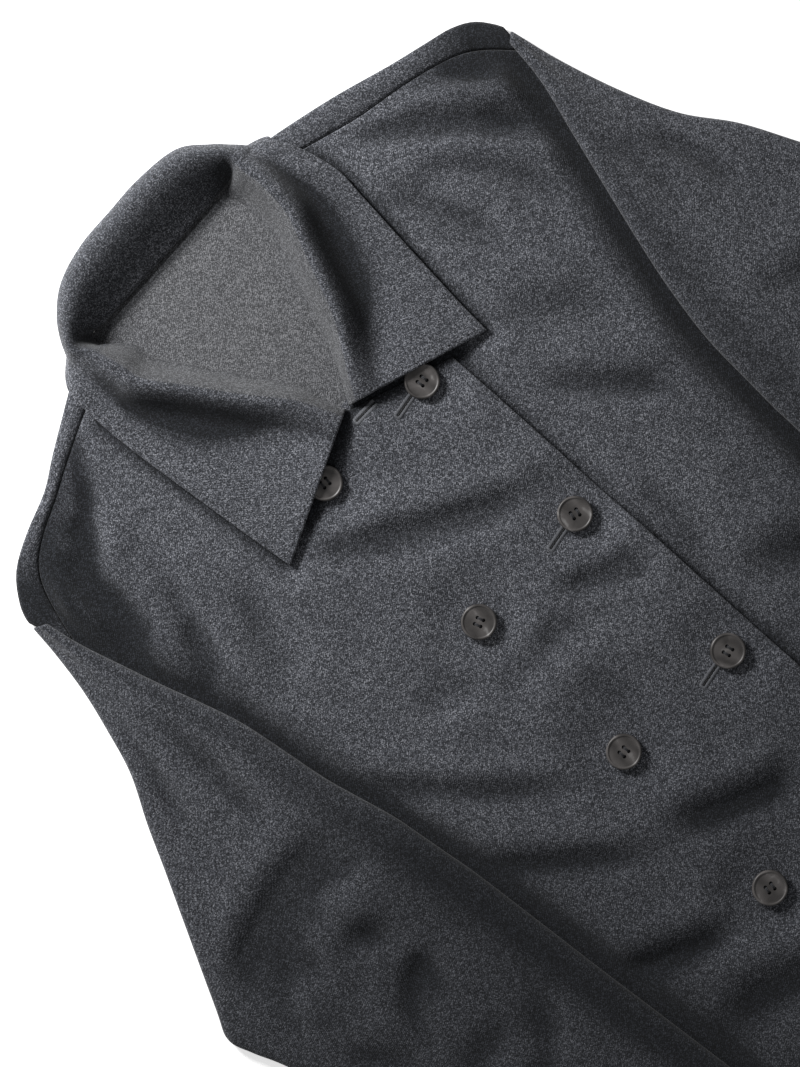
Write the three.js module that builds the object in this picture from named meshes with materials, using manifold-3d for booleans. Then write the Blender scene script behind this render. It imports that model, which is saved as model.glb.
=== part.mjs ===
// A double-breasted jacket with a large collar, laid flat on its back and buttoned. Millimetres, +Z up.
// +X is the wearer's left, +Y is towards the collar. While it is drawn, x = 0 is the centre front and
// y = 0 is the first row of buttons. The last lines put the origin under the middle of the garment.

import * as THREE from "three";
import { mergeVertices } from "three/addons/utils/BufferGeometryUtils.js";
import Module from "manifold-3d";

const wasm = await Module();
wasm.setup();

// Cloth
const CLOTH = 1.5;
const HALF = CLOTH / 2;
const SEAM_GAP = 0.3;

// Heights of the middle of the cloth where the layers lie on each other
const BACK_Z = HALF;
const FRONT_Z = BACK_Z + CLOTH + SEAM_GAP;
const OVERLAP_Z = FRONT_Z + CLOTH + SEAM_GAP;
const ON_FRONT_Z = OVERLAP_Z;
const SHOULDER_SEAM_Z = 3.3;
const SHOULDER_FOLD_Z = 4.2;
const PUFF = 2.6;

// Body
const HEM_Y = -464;
const FRONT_EDGE_X = 61;
const CORNER_Y = -5.1;
const NECK_POINT_Y = 18;
const BACK_NECK_Y = 155.2;
const BACK_NECK_FROM_X = -66;
const BACK_NECK_TO_X = 54;
const NECK_EASE = 1.5;
const SHOULDER_GAP = 0.5;

// Buttons and their rows
const BUTTON_RADIUS = 10.15;
const BUTTON_HEIGHT = 2.8;
const BUTTON_SIDES = 16;
const HOLE_RADIUS = 1.2;
const HOLE_OFFSET = 1.9;
const BUTTON_ROWS = [
  { row: 1, outerX: 39.4, outerY: -1.3, innerX: -39.4, innerY: 1.3 },
  { row: 2, outerX: 40.8, outerY: -114.8, innerX: -40.2, innerY: -114.9 },
  { row: 3, outerX: 40.5, outerY: -229.8, innerX: -40.5, innerY: -223.9 },
  { row: 4, outerX: 40.2, outerY: -341.5, innerX: -43, innerY: -335.7 },
];

// A table is written with its column names once, and then a row for each section or fold
const table = (columns, rows) => {
  const names = columns.split(" ");
  return rows.map((row) => Object.fromEntries(row.map((value, k) => [names[k], value])));
};

// The sides of the body from the hem up, through the underarm, to the tip of the shoulder
const RIGHT_SIDE = table("y x", [
  [-464, -256],
  [-380, -253],
  [-300, -250],
  [-210, -243],
  [-118, -236],
  [-88, -214],
  [-60, -203],
  [-30, -197.5],
  [0, -196.5],
  [20, -198],
  [42, -201],
  [60, -204],
  [70.5, -206.6],
  [74.2, -209],
]);
const LEFT_SIDE = table("y x", [
  [-464, 256],
  [-380, 254],
  [-300, 252],
  [-200, 245],
  [-101, 238],
  [-80, 221],
  [-60, 211],
  [-38, 204],
  [-10, 202],
  [15, 203.5],
  [42, 208],
  [60, 212.3],
  [80, 216.3],
  [90, 217.6],
  [98, 218.6],
]);

// Shoulders from the neck out: the fold at the outline, and the seam where the front begins
const RIGHT_SHOULDER = table("foldX foldY seamX seamY", [
  [-71, 155.6, -71, 140.2],
  [-90, 146.8, -88, 133.4],
  [-108, 137.6, -107, 126.2],
  [-130.5, 126, -127, 118],
  [-148, 116.2, -147, 109],
  [-172, 108, -166, 101],
  [-192, 98.2, -181, 91],
  [-204.5, 84.5, -191, 75],
  [-209, 74.2, -201.1, 43],
]);
const LEFT_SHOULDER = table("foldX foldY seamX seamY", [
  [62, 157.6, 62, 145],
  [82, 154.2, 80, 139.8],
  [104, 148.6, 102, 132.4],
  [130, 141, 127, 124.2],
  [160.5, 130.5, 154, 118],
  [184, 123.4, 176, 111.5],
  [199, 118.6, 191, 105],
  [210.5, 111, 202.5, 96],
  [218.6, 98, 216.3, 80],
]);

// Collar sections from the left leaf's front end round the neck to the right leaf's front end. x and y are
// on the neck seam, outX and outY on the leaf's edge or, behind the neck, on the outline. lean and foot are
// how far the top of the roll and its foot lie out from the seam, and under is how far the edge is turned
// back below.
const COLLAR = table("x y seamZ outX outY lean rollZ foot footZ edgeZ under", [
  [1.7, 20, 5, 85, -9.5, 5.6, 8.6, 24, 10.2, 5.6, 0],
  [11.2, 31.6, 4, 86.3, 10, 4.2, 13.2, 22, 8.8, 5.3, 0],
  [20.4, 44.3, 3.9, 88.2, 30, 4.2, 16.2, 21, 7.6, 5.2, 0],
  [32.2, 61.3, 3.9, 90.4, 52, 4.2, 18, 20, 7, 5.2, 0],
  [47.9, 95.6, 3.9, 94.6, 92, 4.2, 18.5, 19.5, 7.4, 5.2, 0],
  [56.9, 116.3, 3.9, 96.4, 112, 4.2, 18.5, 18.5, 8.2, 5.6, 0],
  [59.7, 137.1, 4.6, 92, 134.5, 4, 18.5, 16.5, 10, 6.6, 0],
  [58.9, 148, 4.6, 85.4, 150.2, 4, 18.2, 15, 11.5, 6.8, 0],
  [57.4, 153, 4.2, 82.6, 155.9, 5, 17.8, 15.5, 10.6, 3.8, 0],
  [54.5, 156.3, 2.8, 69.4, 165.2, 9, 17, 15, 9, 0.75, 6],
  [45, 156, 1, 60, 175, 19, 16.5, 21.5, 9, 0.75, 16],
  [33, 156, 1, 44.5, 188, 28, 15.5, 31, 9, 0.75, 25],
  [16, 156, 1, 18.1, 192.6, 31.4, 15, 34, 9, 0.75, 29],
  [-6, 156, 1, -6, 192.6, 31.4, 15, 34, 9, 0.75, 29],
  [-28, 156, 1, -31, 192, 30.6, 15, 33.5, 9, 0.75, 29],
  [-45, 156, 1, -54, 186.4, 26, 15.5, 29.5, 9, 0.75, 24],
  [-56.5, 156, 1, -70.5, 175, 17.5, 16.5, 21, 9, 0.75, 13],
  [-65, 155.9, 2.8, -82.5, 160.5, 8.5, 17.4, 15, 10, 0.75, 4],
  [-68.4, 150.5, 4.2, -93.8, 147.4, 4.5, 18, 16, 11, 3.8, 0],
  [-67, 141.5, 4.6, -97.8, 136.8, 4, 18.5, 17.5, 11, 6.8, 0],
  [-64.6, 129, 3.9, -98.3, 122, 4.2, 18.5, 18.5, 8.8, 5.8, 0],
  [-62.2, 115.5, 3.9, -98.2, 106, 4.2, 18.3, 19, 7.8, 5.2, 0],
  [-48, 93.3, 3.9, -97.2, 88, 4.2, 17.8, 20, 7.2, 5.2, 0],
  [-33.9, 70.9, 3.9, -95.3, 66, 4.2, 17.2, 20.5, 7.2, 5.2, 0],
  [-23.4, 56.6, 4.4, -93.3, 46, 4.2, 16, 21, 7.6, 5.2, 0],
  [-13.7, 44.3, 5.6, -91.4, 26, 4.2, 14.2, 21, 8.2, 5.2, 0],
  [-7, 31.8, 5.8, -89.2, 5, 4.4, 11.8, 21.5, 9.2, 5.3, 0],
  [-0.7, 20, 6.2, -87, -15, 5.4, 9, 24, 11.2, 6, 0],
]);

// Sleeves from the shoulder to the cuff: the outer fold, the inner fold over the front, the middle of the
// upper layer beside each fold, and how wide the two folds are rounded
const RIGHT_SLEEVE = table("outX outY inX inY outZ inZ outRound inRound", [
  [-210.4, 71.6, -202.6, 65.4, 7.6, 9.4, 3, 2.6],
  [-211.4, 50, -199, 45, 7.6, 11.4, 3.6, 3.6],
  [-216.4, 25, -192.4, 20, 7.6, 12, 4, 4.6],
  [-224, 0, -185.2, -6, 7, 12, 4.4, 5],
  [-233.5, -26, -178.4, -28, 6.6, 11.6, 4.6, 5],
  [-248.5, -52, -171.4, -54, 6.4, 11, 4.6, 5],
  [-261, -76, -167, -84, 6.2, 10.8, 4.6, 5],
  [-274.4, -101, -163, -112, 6.2, 10.6, 4.6, 5],
  [-300, -149, -154.4, -150, 6, 10.4, 4.6, 5],
  [-308.6, -166, -151.6, -170, 6, 10.4, 4.6, 5],
  [-305, -181, -149.4, -188, 6, 10.4, 4.6, 5],
  [-298, -200, -147, -208, 6, 10.2, 4.6, 5],
  [-287, -240, -144, -248, 6.4, 10.2, 4.6, 5],
  [-277, -290, -140.6, -296, 7, 10.2, 4.6, 5],
  [-267, -350, -136, -354, 8, 10, 4.6, 5],
  [-258, -412, -132, -414, 9, 9.8, 4.6, 4.6],
  [-250.5, -486, -131.6, -486, 8.4, 9, 4.2, 4.2],
]);
const LEFT_SLEEVE = table("outX outY inX inY outZ inZ outRound inRound", [
  [221.2, 94.6, 214.2, 88.4, 7.6, 9.4, 2.8, 2.6],
  [224.6, 62, 209.4, 60, 7.6, 11.8, 3.8, 4],
  [234.6, 25, 199, 26, 7.4, 12.4, 4.2, 5],
  [247.6, -9, 188.6, -8, 7, 12, 4.6, 5],
  [265.8, -38, 179.6, -38, 6.6, 11.6, 4.6, 5],
  [280.4, -70, 171.4, -68, 6.4, 11.2, 4.6, 5],
  [298, -109, 164.2, -104, 6.2, 11, 4.6, 5],
  [311.4, -140, 161.4, -140, 6, 10.6, 4.6, 5],
  [310, -156, 160.2, -158, 6, 10.4, 4.6, 5],
  [303, -178, 159.4, -182, 6, 10.4, 4.6, 5],
  [293, -218, 156, -222, 6.4, 10.2, 4.6, 5],
  [284, -264, 151.4, -268, 7, 10.2, 4.6, 5],
  [275, -324, 146.4, -326, 8, 10, 4.6, 5],
  [265, -392, 141, -392, 9, 9.8, 4.6, 4.6],
  [256, -476, 137.4, -476, 8.4, 9, 4.2, 4.2],
]);

// Creases: a trough from (x0, y0) to (x1, y1), bowed to its left, with a softer ridge beside it on its left
// when side is 1 and on its right when side is -1
const FRONT_CREASES = table("x0 y0 x1 y1 bow width depth side", [
  [-72, -20, 38, -92, -5, 9, 3.2, 1],
  [-150, -126, -78, -214, -4, 7, 2.6, 1],
  [-140, -205, -70, -276, -3, 8, 2.6, 1],
  [-52, -272, 14, -304, -3, 10, 3.4, 1],
  [-136, -304, -70, -338, -2, 10, 2.8, 1],
  [4, -140, 54, -162, 2, 9, 2.2, 1],
  [-60, -150, -8, -158, 3, 12, 1.6, -1],
  [-28, -176, -12, -212, 0, 13, 1.6, 1],
  [-100, -122, -64, -140, 0, 10, 1.3, -1],
  [-172, 84, -184, 8, 5, 11, 3.2, -1],
  [-150, 98, -164, 62, 3, 8, 2.2, 1],
  [-128, 104, -156, 70, 2, 9, 1.5, 1],
  [-150, 6, -166, -34, 0, 10, 2.2, 1],
  [-118, -4, -142, -62, 4, 15, 1.4, 1],
  [-118, -366, -34, -404, 5, 13, 2.4, 1],
  [-20, -352, 40, -376, -3, 11, 1.8, 1],
  [-96, -420, 10, -438, 3, 14, 1.6, -1],
  [114, 118, 192, 44, 8, 8, 3.4, 1],
  [100, 90, 132, 14, 5, 9, 2.2, 1],
  [128, 78, 176, 8, 5, 7, 2, 1],
  [176, 108, 196, 82, 0, 11, 2.8, -1],
  [86, -52, 132, -104, -4, 10, 2.4, 1],
  [96, -8, 142, -52, 3, 13, 1.3, 1],
  [76, -128, 72, -186, 2, 10, 2, -1],
  [84, -206, 142, -252, 4, 12, 2.4, 1],
  [88, -268, 140, -340, -4, 12, 2, 1],
  [70, -322, 96, -396, 3, 12, 2, -1],
  [84, -400, 134, -440, 2, 13, 1.6, 1],
]);
const SLEEVE_CREASES = table("x0 y0 x1 y1 bow width depth side", [
  [-298, -156, -188, -128, 7, 10, 3.2, 1],
  [-268, -168, -236, -178, 2, 13, 2.2, -1],
  [-230, -180, -200, -192, 3, 8, 2, 1],
  [-238, -250, -198, -214, 7, 9, 2.6, 1],
  [-276, -222, -246, -256, 3, 9, 2, 1],
  [-222, 6, -238, -66, 3, 8, 2.2, -1],
  [-200, -14, -206, -100, 3, 9, 2.4, 1],
  [-258, -292, -196, -276, 5, 10, 2, -1],
  [-172, -276, -226, -330, 4, 10, 2, 1],
  [-244, -382, -188, -366, 4, 11, 1.8, 1],
  [-162, -396, -206, -442, 3, 10, 1.6, -1],
  [228, -8, 242, -62, 2, 8, 2.4, 1],
  [206, 16, 212, -42, 3, 9, 2, -1],
  [300, -132, 206, -112, 6, 10, 2.8, -1],
  [286, -164, 238, -172, 3, 12, 2.2, 1],
  [268, -214, 206, -200, 5, 9, 2.4, 1],
  [186, -232, 236, -282, 3, 10, 2.2, -1],
  [258, -338, 204, -316, 4, 11, 1.8, 1],
  [170, -372, 222, -420, 3, 10, 1.6, 1],
]);

const clamp = (value, low, high) => Math.min(high, Math.max(low, value));
const mix = (a, b, t) => a + (b - a) * t;
const ramp = (from, to, value) => {
  const t = clamp((value - from) / (to - from), 0, 1);
  return t * t * (3 - 2 * t);
};

// A smooth curve through values at rising stations
function smooth(stations, values, at) {
  const last = stations.length - 1;
  const secant = (k) => (values[k + 1] - values[k]) / (stations[k + 1] - stations[k]);
  const slope = (k) => {
    if (k === 0) return secant(0);
    if (k === last) return secant(last - 1);
    const before = stations[k] - stations[k - 1];
    const after = stations[k + 1] - stations[k];
    return (after * secant(k - 1) + before * secant(k)) / (before + after);
  };
  let k = 0;
  while (k < last - 1 && at > stations[k + 1]) k += 1;
  const span = stations[k + 1] - stations[k];
  const t = clamp((at - stations[k]) / span, 0, 1);
  const t2 = t * t;
  const t3 = t2 * t;
  return (2 * t3 - 3 * t2 + 1) * values[k] + (t3 - 2 * t2 + t) * span * slope(k)
    + (3 * t2 - 2 * t3) * values[k + 1] + (t3 - t2) * span * slope(k + 1);
}

// One column of a table against another, or against the row number
const column = (rows, name) => rows.map((row) => row[name]);
const against = (rows, from, to) => (at) => smooth(column(rows, from), column(rows, to), at);
const straightAgainst = (rows, from, to) => (at) => {
  let k = 0;
  while (k < rows.length - 2 && at > rows[k + 1][from]) k += 1;
  return mix(rows[k][to], rows[k + 1][to], (at - rows[k][from]) / (rows[k + 1][from] - rows[k][from]));
};
const rowAt = (rows, at) => {
  const stations = rows.map((_, k) => k);
  const valueAt = (name) => [name, smooth(stations, column(rows, name), at)];
  return Object.fromEntries(Object.keys(rows[0]).map(valueAt));
};

const sideX = {
  right: straightAgainst(RIGHT_SIDE, "y", "x"),
  left: straightAgainst(LEFT_SIDE, "y", "x"),
};

// How far a set of creases lifts or lowers the cloth at a place
function creaseHeight(creases, x, y) {
  let height = 0;
  for (const c of creases) {
    const length = Math.hypot(c.x1 - c.x0, c.y1 - c.y0);
    const alongX = (c.x1 - c.x0) / length;
    const alongY = (c.y1 - c.y0) / length;
    const along = (x - c.x0) * alongX + (y - c.y0) * alongY;
    const t = along / length;
    const bow = c.bow * 4 * t * (1 - t);
    const across = (y - c.y0) * alongX - (x - c.x0) * alongY - bow;
    const ends = ramp(-0.16, 0.3, t) * ramp(1.16, 0.7, t);
    if (ends === 0 || Math.abs(across) > 5 * c.width) continue;
    const trough = Math.exp(-((across / c.width) ** 2));
    const ridge = Math.exp(-(((across - 1.7 * c.side * c.width) / (1.15 * c.width)) ** 2));
    height += c.depth * ends * (0.5 * ridge - trough);
  }
  return height;
}

// How far a place is covered by the collar's leaves, from 0 to 1
const leafFrontY = (x) => (x > 0.5 ? mix(20, -9.5, (x - 0.5) / 84.5) : mix(20, -15, (0.5 - x) / 87.5));
const LEFT_LEAF = table("y x", [[-15, 86], [30, 89], [70, 93.5], [112, 97.5], [150, 88], [160, 80]]);
const RIGHT_LEAF = table("y x", [[-15, -89], [30, -93], [70, -97], [106, -100], [138, -99], [160, -90]]);
const leafSideX = { left: against(LEFT_LEAF, "y", "x"), right: against(RIGHT_LEAF, "y", "x") };
function underLeaf(x, y) {
  const beyondFront = ramp(-14, -2, y - leafFrontY(clamp(x, -88, 86)));
  const insideLeft = ramp(12, 2, x - leafSideX.left(y));
  const insideRight = ramp(-12, -2, x - leafSideX.right(y));
  return beyondFront * insideLeft * insideRight;
}

// How far a place is clear of the sleeve that lies on the front, from 0 to 1
const innerFoldX = {
  right: against([...RIGHT_SLEEVE].reverse(), "inY", "inX"),
  left: against([...LEFT_SLEEVE].reverse(), "inY", "inX"),
};
const clearOfSleeves = (x, y) =>
  ramp(12, 32, x - innerFoldX.right(y)) * ramp(12, 32, innerFoldX.left(y) - x);

// The buttons hold the layers together
function clearOfButtons(x, y) {
  let clear = 1;
  for (const row of BUTTON_ROWS) {
    clear *= ramp(12, 38, Math.hypot(x - row.outerX, y - row.outerY));
    clear *= ramp(12, 38, Math.hypot(x - row.innerX, y - row.innerY));
  }
  return clear;
}

// How near a place is to the shoulder seam, from 0 to 1
const seamY = {
  right: against([...RIGHT_SHOULDER].reverse(), "seamX", "seamY"),
  left: against(LEFT_SHOULDER, "seamX", "seamY"),
};
function nearShoulderSeam(x, y) {
  if (x < -71) return ramp(-20, -1, y - seamY.right(Math.max(x, -201)));
  if (x > 62) return ramp(-20, -1, y - seamY.left(Math.min(x, 216)));
  return ramp(-20, -1, y - 140);
}

// Air and creases under the cloth of the fronts, never below the layer beneath
function frontLift(x, y) {
  const raw = PUFF + creaseHeight(FRONT_CREASES, x, y);
  const soft = (raw + Math.sqrt(raw * raw + 0.4)) / 2;
  const free = clearOfSleeves(x, y) * clearOfButtons(x, y) * (1 - underLeaf(x, y));
  return soft * free * (1 - nearShoulderSeam(x, y)) * ramp(HEM_Y - 6, HEM_Y + 26, y);
}
const shoulderRise = (x, y) => (SHOULDER_SEAM_Z - FRONT_Z) * nearShoulderSeam(x, y);

function frontLeftZ(x, y) {
  const besideOverlap = ramp(FRONT_EDGE_X + 5, FRONT_EDGE_X + 24, x);
  return FRONT_Z + frontLift(x, y) * besideOverlap + shoulderRise(x, y);
}
function frontRightZ(x, y) {
  const fromEdge = clamp(x, -FRONT_EDGE_X, 0) + FRONT_EDGE_X;
  const topOfLayerBelow = mix(CORNER_Y, NECK_POINT_Y, fromEdge / FRONT_EDGE_X);
  const over = ramp(-FRONT_EDGE_X - 22, -FRONT_EDGE_X - 4, x) * ramp(46, 26, y - topOfLayerBelow);
  return mix(FRONT_Z, OVERLAP_Z, over) + frontLift(x, y) + shoulderRise(x, y);
}

// A wall of cloth from rows of points on its middle, half the wall to each side. present(i, j) tells which
// cells of the grid are cloth.
function clothWall(rows, present = () => true) {
  const across = rows[0].length;
  const cells = [];
  for (let i = 0; i + 1 < rows.length; i += 1) {
    for (let j = 0; j + 1 < across; j += 1) {
      if (present(i, j)) cells.push([i, j]);
    }
  }
  const at = (i, j) => rows[i][j];
  const normals = new Map();
  const key = (i, j) => i * across + j;
  for (const [i, j] of cells) {
    const diagonalA = new THREE.Vector3().subVectors(at(i + 1, j + 1), at(i, j));
    const diagonalB = new THREE.Vector3().subVectors(at(i + 1, j), at(i, j + 1));
    const normal = new THREE.Vector3().crossVectors(diagonalB, diagonalA).normalize();
    for (const [a, b] of [[i, j], [i, j + 1], [i + 1, j + 1], [i + 1, j]]) {
      if (!normals.has(key(a, b))) normals.set(key(a, b), new THREE.Vector3());
      normals.get(key(a, b)).add(normal);
    }
  }
  const positions = [];
  const numbers = new Map();
  for (const [number, sum] of normals) {
    const point = at(Math.floor(number / across), number % across);
    const offset = sum.normalize().multiplyScalar(HALF);
    numbers.set(number, positions.length / 3);
    positions.push(point.x + offset.x, point.y + offset.y, point.z + offset.z);
    positions.push(point.x - offset.x, point.y - offset.y, point.z - offset.z);
  }
  const upper = (corner) => numbers.get(key(...corner));
  const lower = (corner) => numbers.get(key(...corner)) + 1;
  const index = [];
  const isCell = (i, j) => i >= 0 && j >= 0 && i + 1 < rows.length && j + 1 < across && present(i, j);
  for (const [i, j] of cells) {
    const ring = [[i, j], [i + 1, j], [i + 1, j + 1], [i, j + 1]];
    const first = at(i, j).distanceTo(at(i + 1, j + 1));
    const second = at(i + 1, j).distanceTo(at(i, j + 1));
    const order = first <= second ? [0, 1, 2, 3] : [1, 2, 3, 0];
    const [a, b, c, d] = order.map((k) => ring[k]);
    index.push(upper(a), upper(b), upper(c), upper(a), upper(c), upper(d));
    index.push(lower(a), lower(c), lower(b), lower(a), lower(d), lower(c));
    const neighbours = [[i, j - 1], [i + 1, j], [i, j + 1], [i - 1, j]];
    neighbours.forEach((neighbour, side) => {
      if (isCell(...neighbour)) return;
      const from = ring[side];
      const to = ring[(side + 1) % 4];
      index.push(upper(from), lower(from), lower(to), upper(from), lower(to), upper(to));
    });
  }
  const geometry = new THREE.BufferGeometry();
  geometry.setAttribute("position", new THREE.Float32BufferAttribute(positions, 3));
  geometry.setIndex(index);
  geometry.computeVertexNormals();
  return geometry;
}

// A flat patch stretched between four edges, which start and end at shared corners
function patch(bottom, top, start, end, u, v) {
  const blend = (axis) => (1 - v) * bottom(u)[axis] + v * top(u)[axis]
    + (1 - u) * start(v)[axis] + u * end(v)[axis]
    - (1 - u) * (1 - v) * bottom(0)[axis] - u * (1 - v) * bottom(1)[axis]
    - (1 - u) * v * top(0)[axis] - u * v * top(1)[axis];
  return { x: blend("x"), y: blend("y") };
}

// A section of the collar: seam, roll, foot, leaf and edge
function collarSection(at, steps) {
  const s = rowAt(COLLAR, at);
  const width = Math.hypot(s.outX - s.x, s.outY - s.y);
  const outX = (s.outX - s.x) / width;
  const outY = (s.outY - s.y) / width;
  const tuck = clamp(s.under / 12, 0, 1);
  const edge = width - s.under;
  const middle = mix(mix(s.foot, edge, 0.5), width - 2.2, tuck);
  const middleZ = mix((s.footZ + s.edgeZ) / 2 + 0.7, s.edgeZ, tuck);
  const out = [0, s.lean, mix(s.foot, width - 0.9, tuck), middle, edge];
  const up = [s.seamZ, s.rollZ, s.footZ, middleZ, s.edgeZ];
  const stations = [0];
  for (let k = 1; k < out.length; k += 1) {
    stations.push(stations[k - 1] + Math.hypot(out[k] - out[k - 1], up[k] - up[k - 1]));
  }
  return steps.map((step) => {
    const k = Math.min(Math.floor(step), out.length - 2);
    const station = mix(stations[k], stations[k + 1], step - k);
    const distance = smooth(stations, out, station);
    const height = Math.max(BACK_Z, smooth(stations, up, station));
    return new THREE.Vector3(s.x + outX * distance, s.y + outY * distance, height);
  });
}
const COLLAR_STEPS = [0, 0.4, 0.75, 1, 1.25, 1.6, 2, 2.4, 2.8, 3, 3.4, 3.7, 4];
const COLLAR_STATIONS = 36;
function collar() {
  const rows = [];
  for (let i = 0; i <= COLLAR_STATIONS; i += 1) {
    rows.push(collarSection((COLLAR.length - 1) * (i / COLLAR_STATIONS), COLLAR_STEPS).reverse());
  }
  return clothWall(rows);
}

// The neck edge of the fronts, just outside the collar's seam
function neckEdge(at) {
  const s = rowAt(COLLAR, at);
  const width = Math.hypot(s.outX - s.x, s.outY - s.y);
  return { x: s.x + (NECK_EASE * (s.outX - s.x)) / width, y: s.y + (NECK_EASE * (s.outY - s.y)) / width };
}

// The top edge of a front as straight stretches between points: shoulder seam, neck and top of the overlap
const stations = (from, to, count) => Array.from({ length: count + 1 }, (_, k) => mix(from, to, k / count));
const shoulderPoints = (rows) =>
  rows.map((row) => ({ x: row.seamX, y: row.seamY - SHOULDER_GAP / 2 }));
const LEFT_NECK_SECTIONS = stations(6.2, 1, 5);
const RIGHT_NECK_SECTIONS = stations(COLLAR.length - 8, COLLAR.length - 2, 5);
const OVERLAP_TOP = stations(0, 1, 4);
const overlapTop = (side) =>
  OVERLAP_TOP.map((t) => ({ x: mix(0.5, side * FRONT_EDGE_X, t), y: mix(NECK_POINT_Y, CORNER_Y, t) }));
const RIGHT_FRONT_TOP = [
  ...shoulderPoints(RIGHT_SHOULDER).reverse(),
  ...RIGHT_NECK_SECTIONS.map(neckEdge),
  ...overlapTop(1),
];
const LEFT_FRONT_TOP = [
  ...overlapTop(-1).reverse(),
  ...LEFT_NECK_SECTIONS.map(neckEdge).reverse(),
  ...shoulderPoints(LEFT_SHOULDER),
];

// A panel's points, column by column from the wearer's right to left: level rows up the sides, and above the
// last level a patch that ends in the panel's top edge
const alongPoints = (points) => (u) => {
  const place = u * (points.length - 1);
  const k = Math.min(Math.floor(place), points.length - 2);
  return {
    x: mix(points[k].x, points[k + 1].x, place - k),
    y: mix(points[k].y, points[k + 1].y, place - k),
  };
};
function panel(startSide, endSide, levels, upperRows, topPoints) {
  const top = alongPoints(topPoints);
  const startUpper = alongPoints([...startSide.slice(levels), topPoints[0]]);
  const endUpper = alongPoints([...endSide.slice(levels), topPoints.at(-1)]);
  const lastLevel = (u) => ({
    x: mix(startSide[levels].x, endSide[levels].x, u),
    y: mix(startSide[levels].y, endSide[levels].y, u),
  });
  return topPoints.map((_, i) => {
    const u = i / (topPoints.length - 1);
    const places = [];
    for (let k = 0; k < levels; k += 1) {
      places.push({ x: mix(startSide[k].x, endSide[k].x, u), y: mix(startSide[k].y, endSide[k].y, u) });
    }
    for (const v of stations(0, 1, upperRows)) {
      places.push(patch(lastLevel, top, startUpper, endUpper, u, v));
    }
    return places;
  });
}

// The side of a body as points no further apart than a row, up to the height of a panel's top corner
const ROW_STEP = 22;
function sidePoints(rows, topY, step = ROW_STEP) {
  const x = straightAgainst(rows, "y", "x");
  const ys = [rows[0].y];
  for (const row of [...rows.slice(1).filter((r) => r.y < topY - 4), { y: topY }]) {
    const from = ys.at(-1);
    const count = Math.max(1, Math.round((row.y - from) / step));
    stations(from, row.y, count).slice(1).forEach((y) => ys.push(y));
  }
  return ys.map((y) => ({ x: x(y), y }));
}
const FRONT_LEVEL_Y = -28;
const FRONT_UPPER_ROWS = 6;
const straightSide = (x, levels) => levels.map(({ y }) => ({ x, y }));
function front(side, topPoints, height) {
  const rows = side === "right" ? RIGHT_SIDE : LEFT_SIDE;
  const corner = side === "right" ? topPoints[0] : topPoints.at(-1);
  const outer = sidePoints(rows, corner.y);
  const levels = outer.findLastIndex(({ y }) => y < FRONT_LEVEL_Y);
  const inner = straightSide(side === "right" ? FRONT_EDGE_X : -FRONT_EDGE_X, outer.slice(0, levels + 1));
  const columns = side === "right"
    ? panel(outer.slice(0, -1), inner, levels, FRONT_UPPER_ROWS, topPoints)
    : panel(inner, outer.slice(0, -1), levels, FRONT_UPPER_ROWS, topPoints);
  return clothWall(columns.map((column) => column.map(({ x, y }) => new THREE.Vector3(x, y, height(x, y)))));
}

// The back lies flat and is turned over at the shoulders, as far as the seam with the fronts
const BACK_LEVELS = 9;
const BACK_UPPER_ROWS = 4;
const BACK_ROWS = BACK_LEVELS + BACK_UPPER_ROWS;
const BACK_NECK_COLUMNS = 6;
const FOLD_ROUND = 2.4;
const FOLD_STEPS = 4;
const STRIP_STEPS = 3;
function shoulderStrip(row) {
  const width = Math.hypot(row.foldX - row.seamX, row.foldY - row.seamY);
  const outX = (row.foldX - row.seamX) / width;
  const outY = (row.foldY - row.seamY) / width;
  const place = (inset, z) => new THREE.Vector3(
    row.foldX - outX * (inset + HALF),
    row.foldY - outY * (inset + HALF),
    z,
  );
  const points = [];
  const middle = (BACK_Z + SHOULDER_FOLD_Z) / 2;
  for (let k = 0; k <= FOLD_STEPS; k += 1) {
    const turn = Math.PI * (k / FOLD_STEPS);
    points.push(place(FOLD_ROUND * (1 - Math.sin(turn)), middle - (middle - BACK_Z) * Math.cos(turn)));
  }
  const reach = width - HALF - SHOULDER_GAP / 2;
  for (let k = 1; k <= STRIP_STEPS; k += 1) {
    const t = k / STRIP_STEPS;
    const crown = 0.8 * Math.sin(Math.PI * t);
    points.push(place(mix(FOLD_ROUND, reach, t), mix(SHOULDER_FOLD_Z, SHOULDER_SEAM_Z, t) + crown));
  }
  return points;
}
function back() {
  const rightStrips = RIGHT_SHOULDER.map(shoulderStrip).reverse();
  const leftStrips = LEFT_SHOULDER.map(shoulderStrip);
  const neck = stations(BACK_NECK_FROM_X, BACK_NECK_TO_X, BACK_NECK_COLUMNS - 2)
    .map((x) => ({ x, y: BACK_NECK_Y }));
  const topPoints = [...rightStrips.map((s) => s[0]), ...neck, ...leftStrips.map((s) => s[0])];
  const columns = topPoints.length - 1;
  const [rightSide, leftSide] = [RIGHT_SIDE.slice(0, -1), LEFT_SIDE.slice(0, -1)];
  const places = panel(rightSide, leftSide, BACK_LEVELS, BACK_UPPER_ROWS, topPoints);
  const rows = [];
  for (let i = 0; i <= columns; i += 1) {
    const row = places[i].map(({ x, y }) => new THREE.Vector3(x, y, BACK_Z));
    const leftStart = columns - LEFT_SHOULDER.length + 1;
    const strip = i < RIGHT_SHOULDER.length ? rightStrips[i] : leftStrips[Math.max(0, i - leftStart)];
    row.push(...strip.slice(1));
    rows.push(row);
  }
  const isShoulder = (i) => i + 1 < RIGHT_SHOULDER.length || i > columns - LEFT_SHOULDER.length;
  return clothWall(rows, (i, j) => j < BACK_ROWS || isShoulder(i));
}

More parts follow.
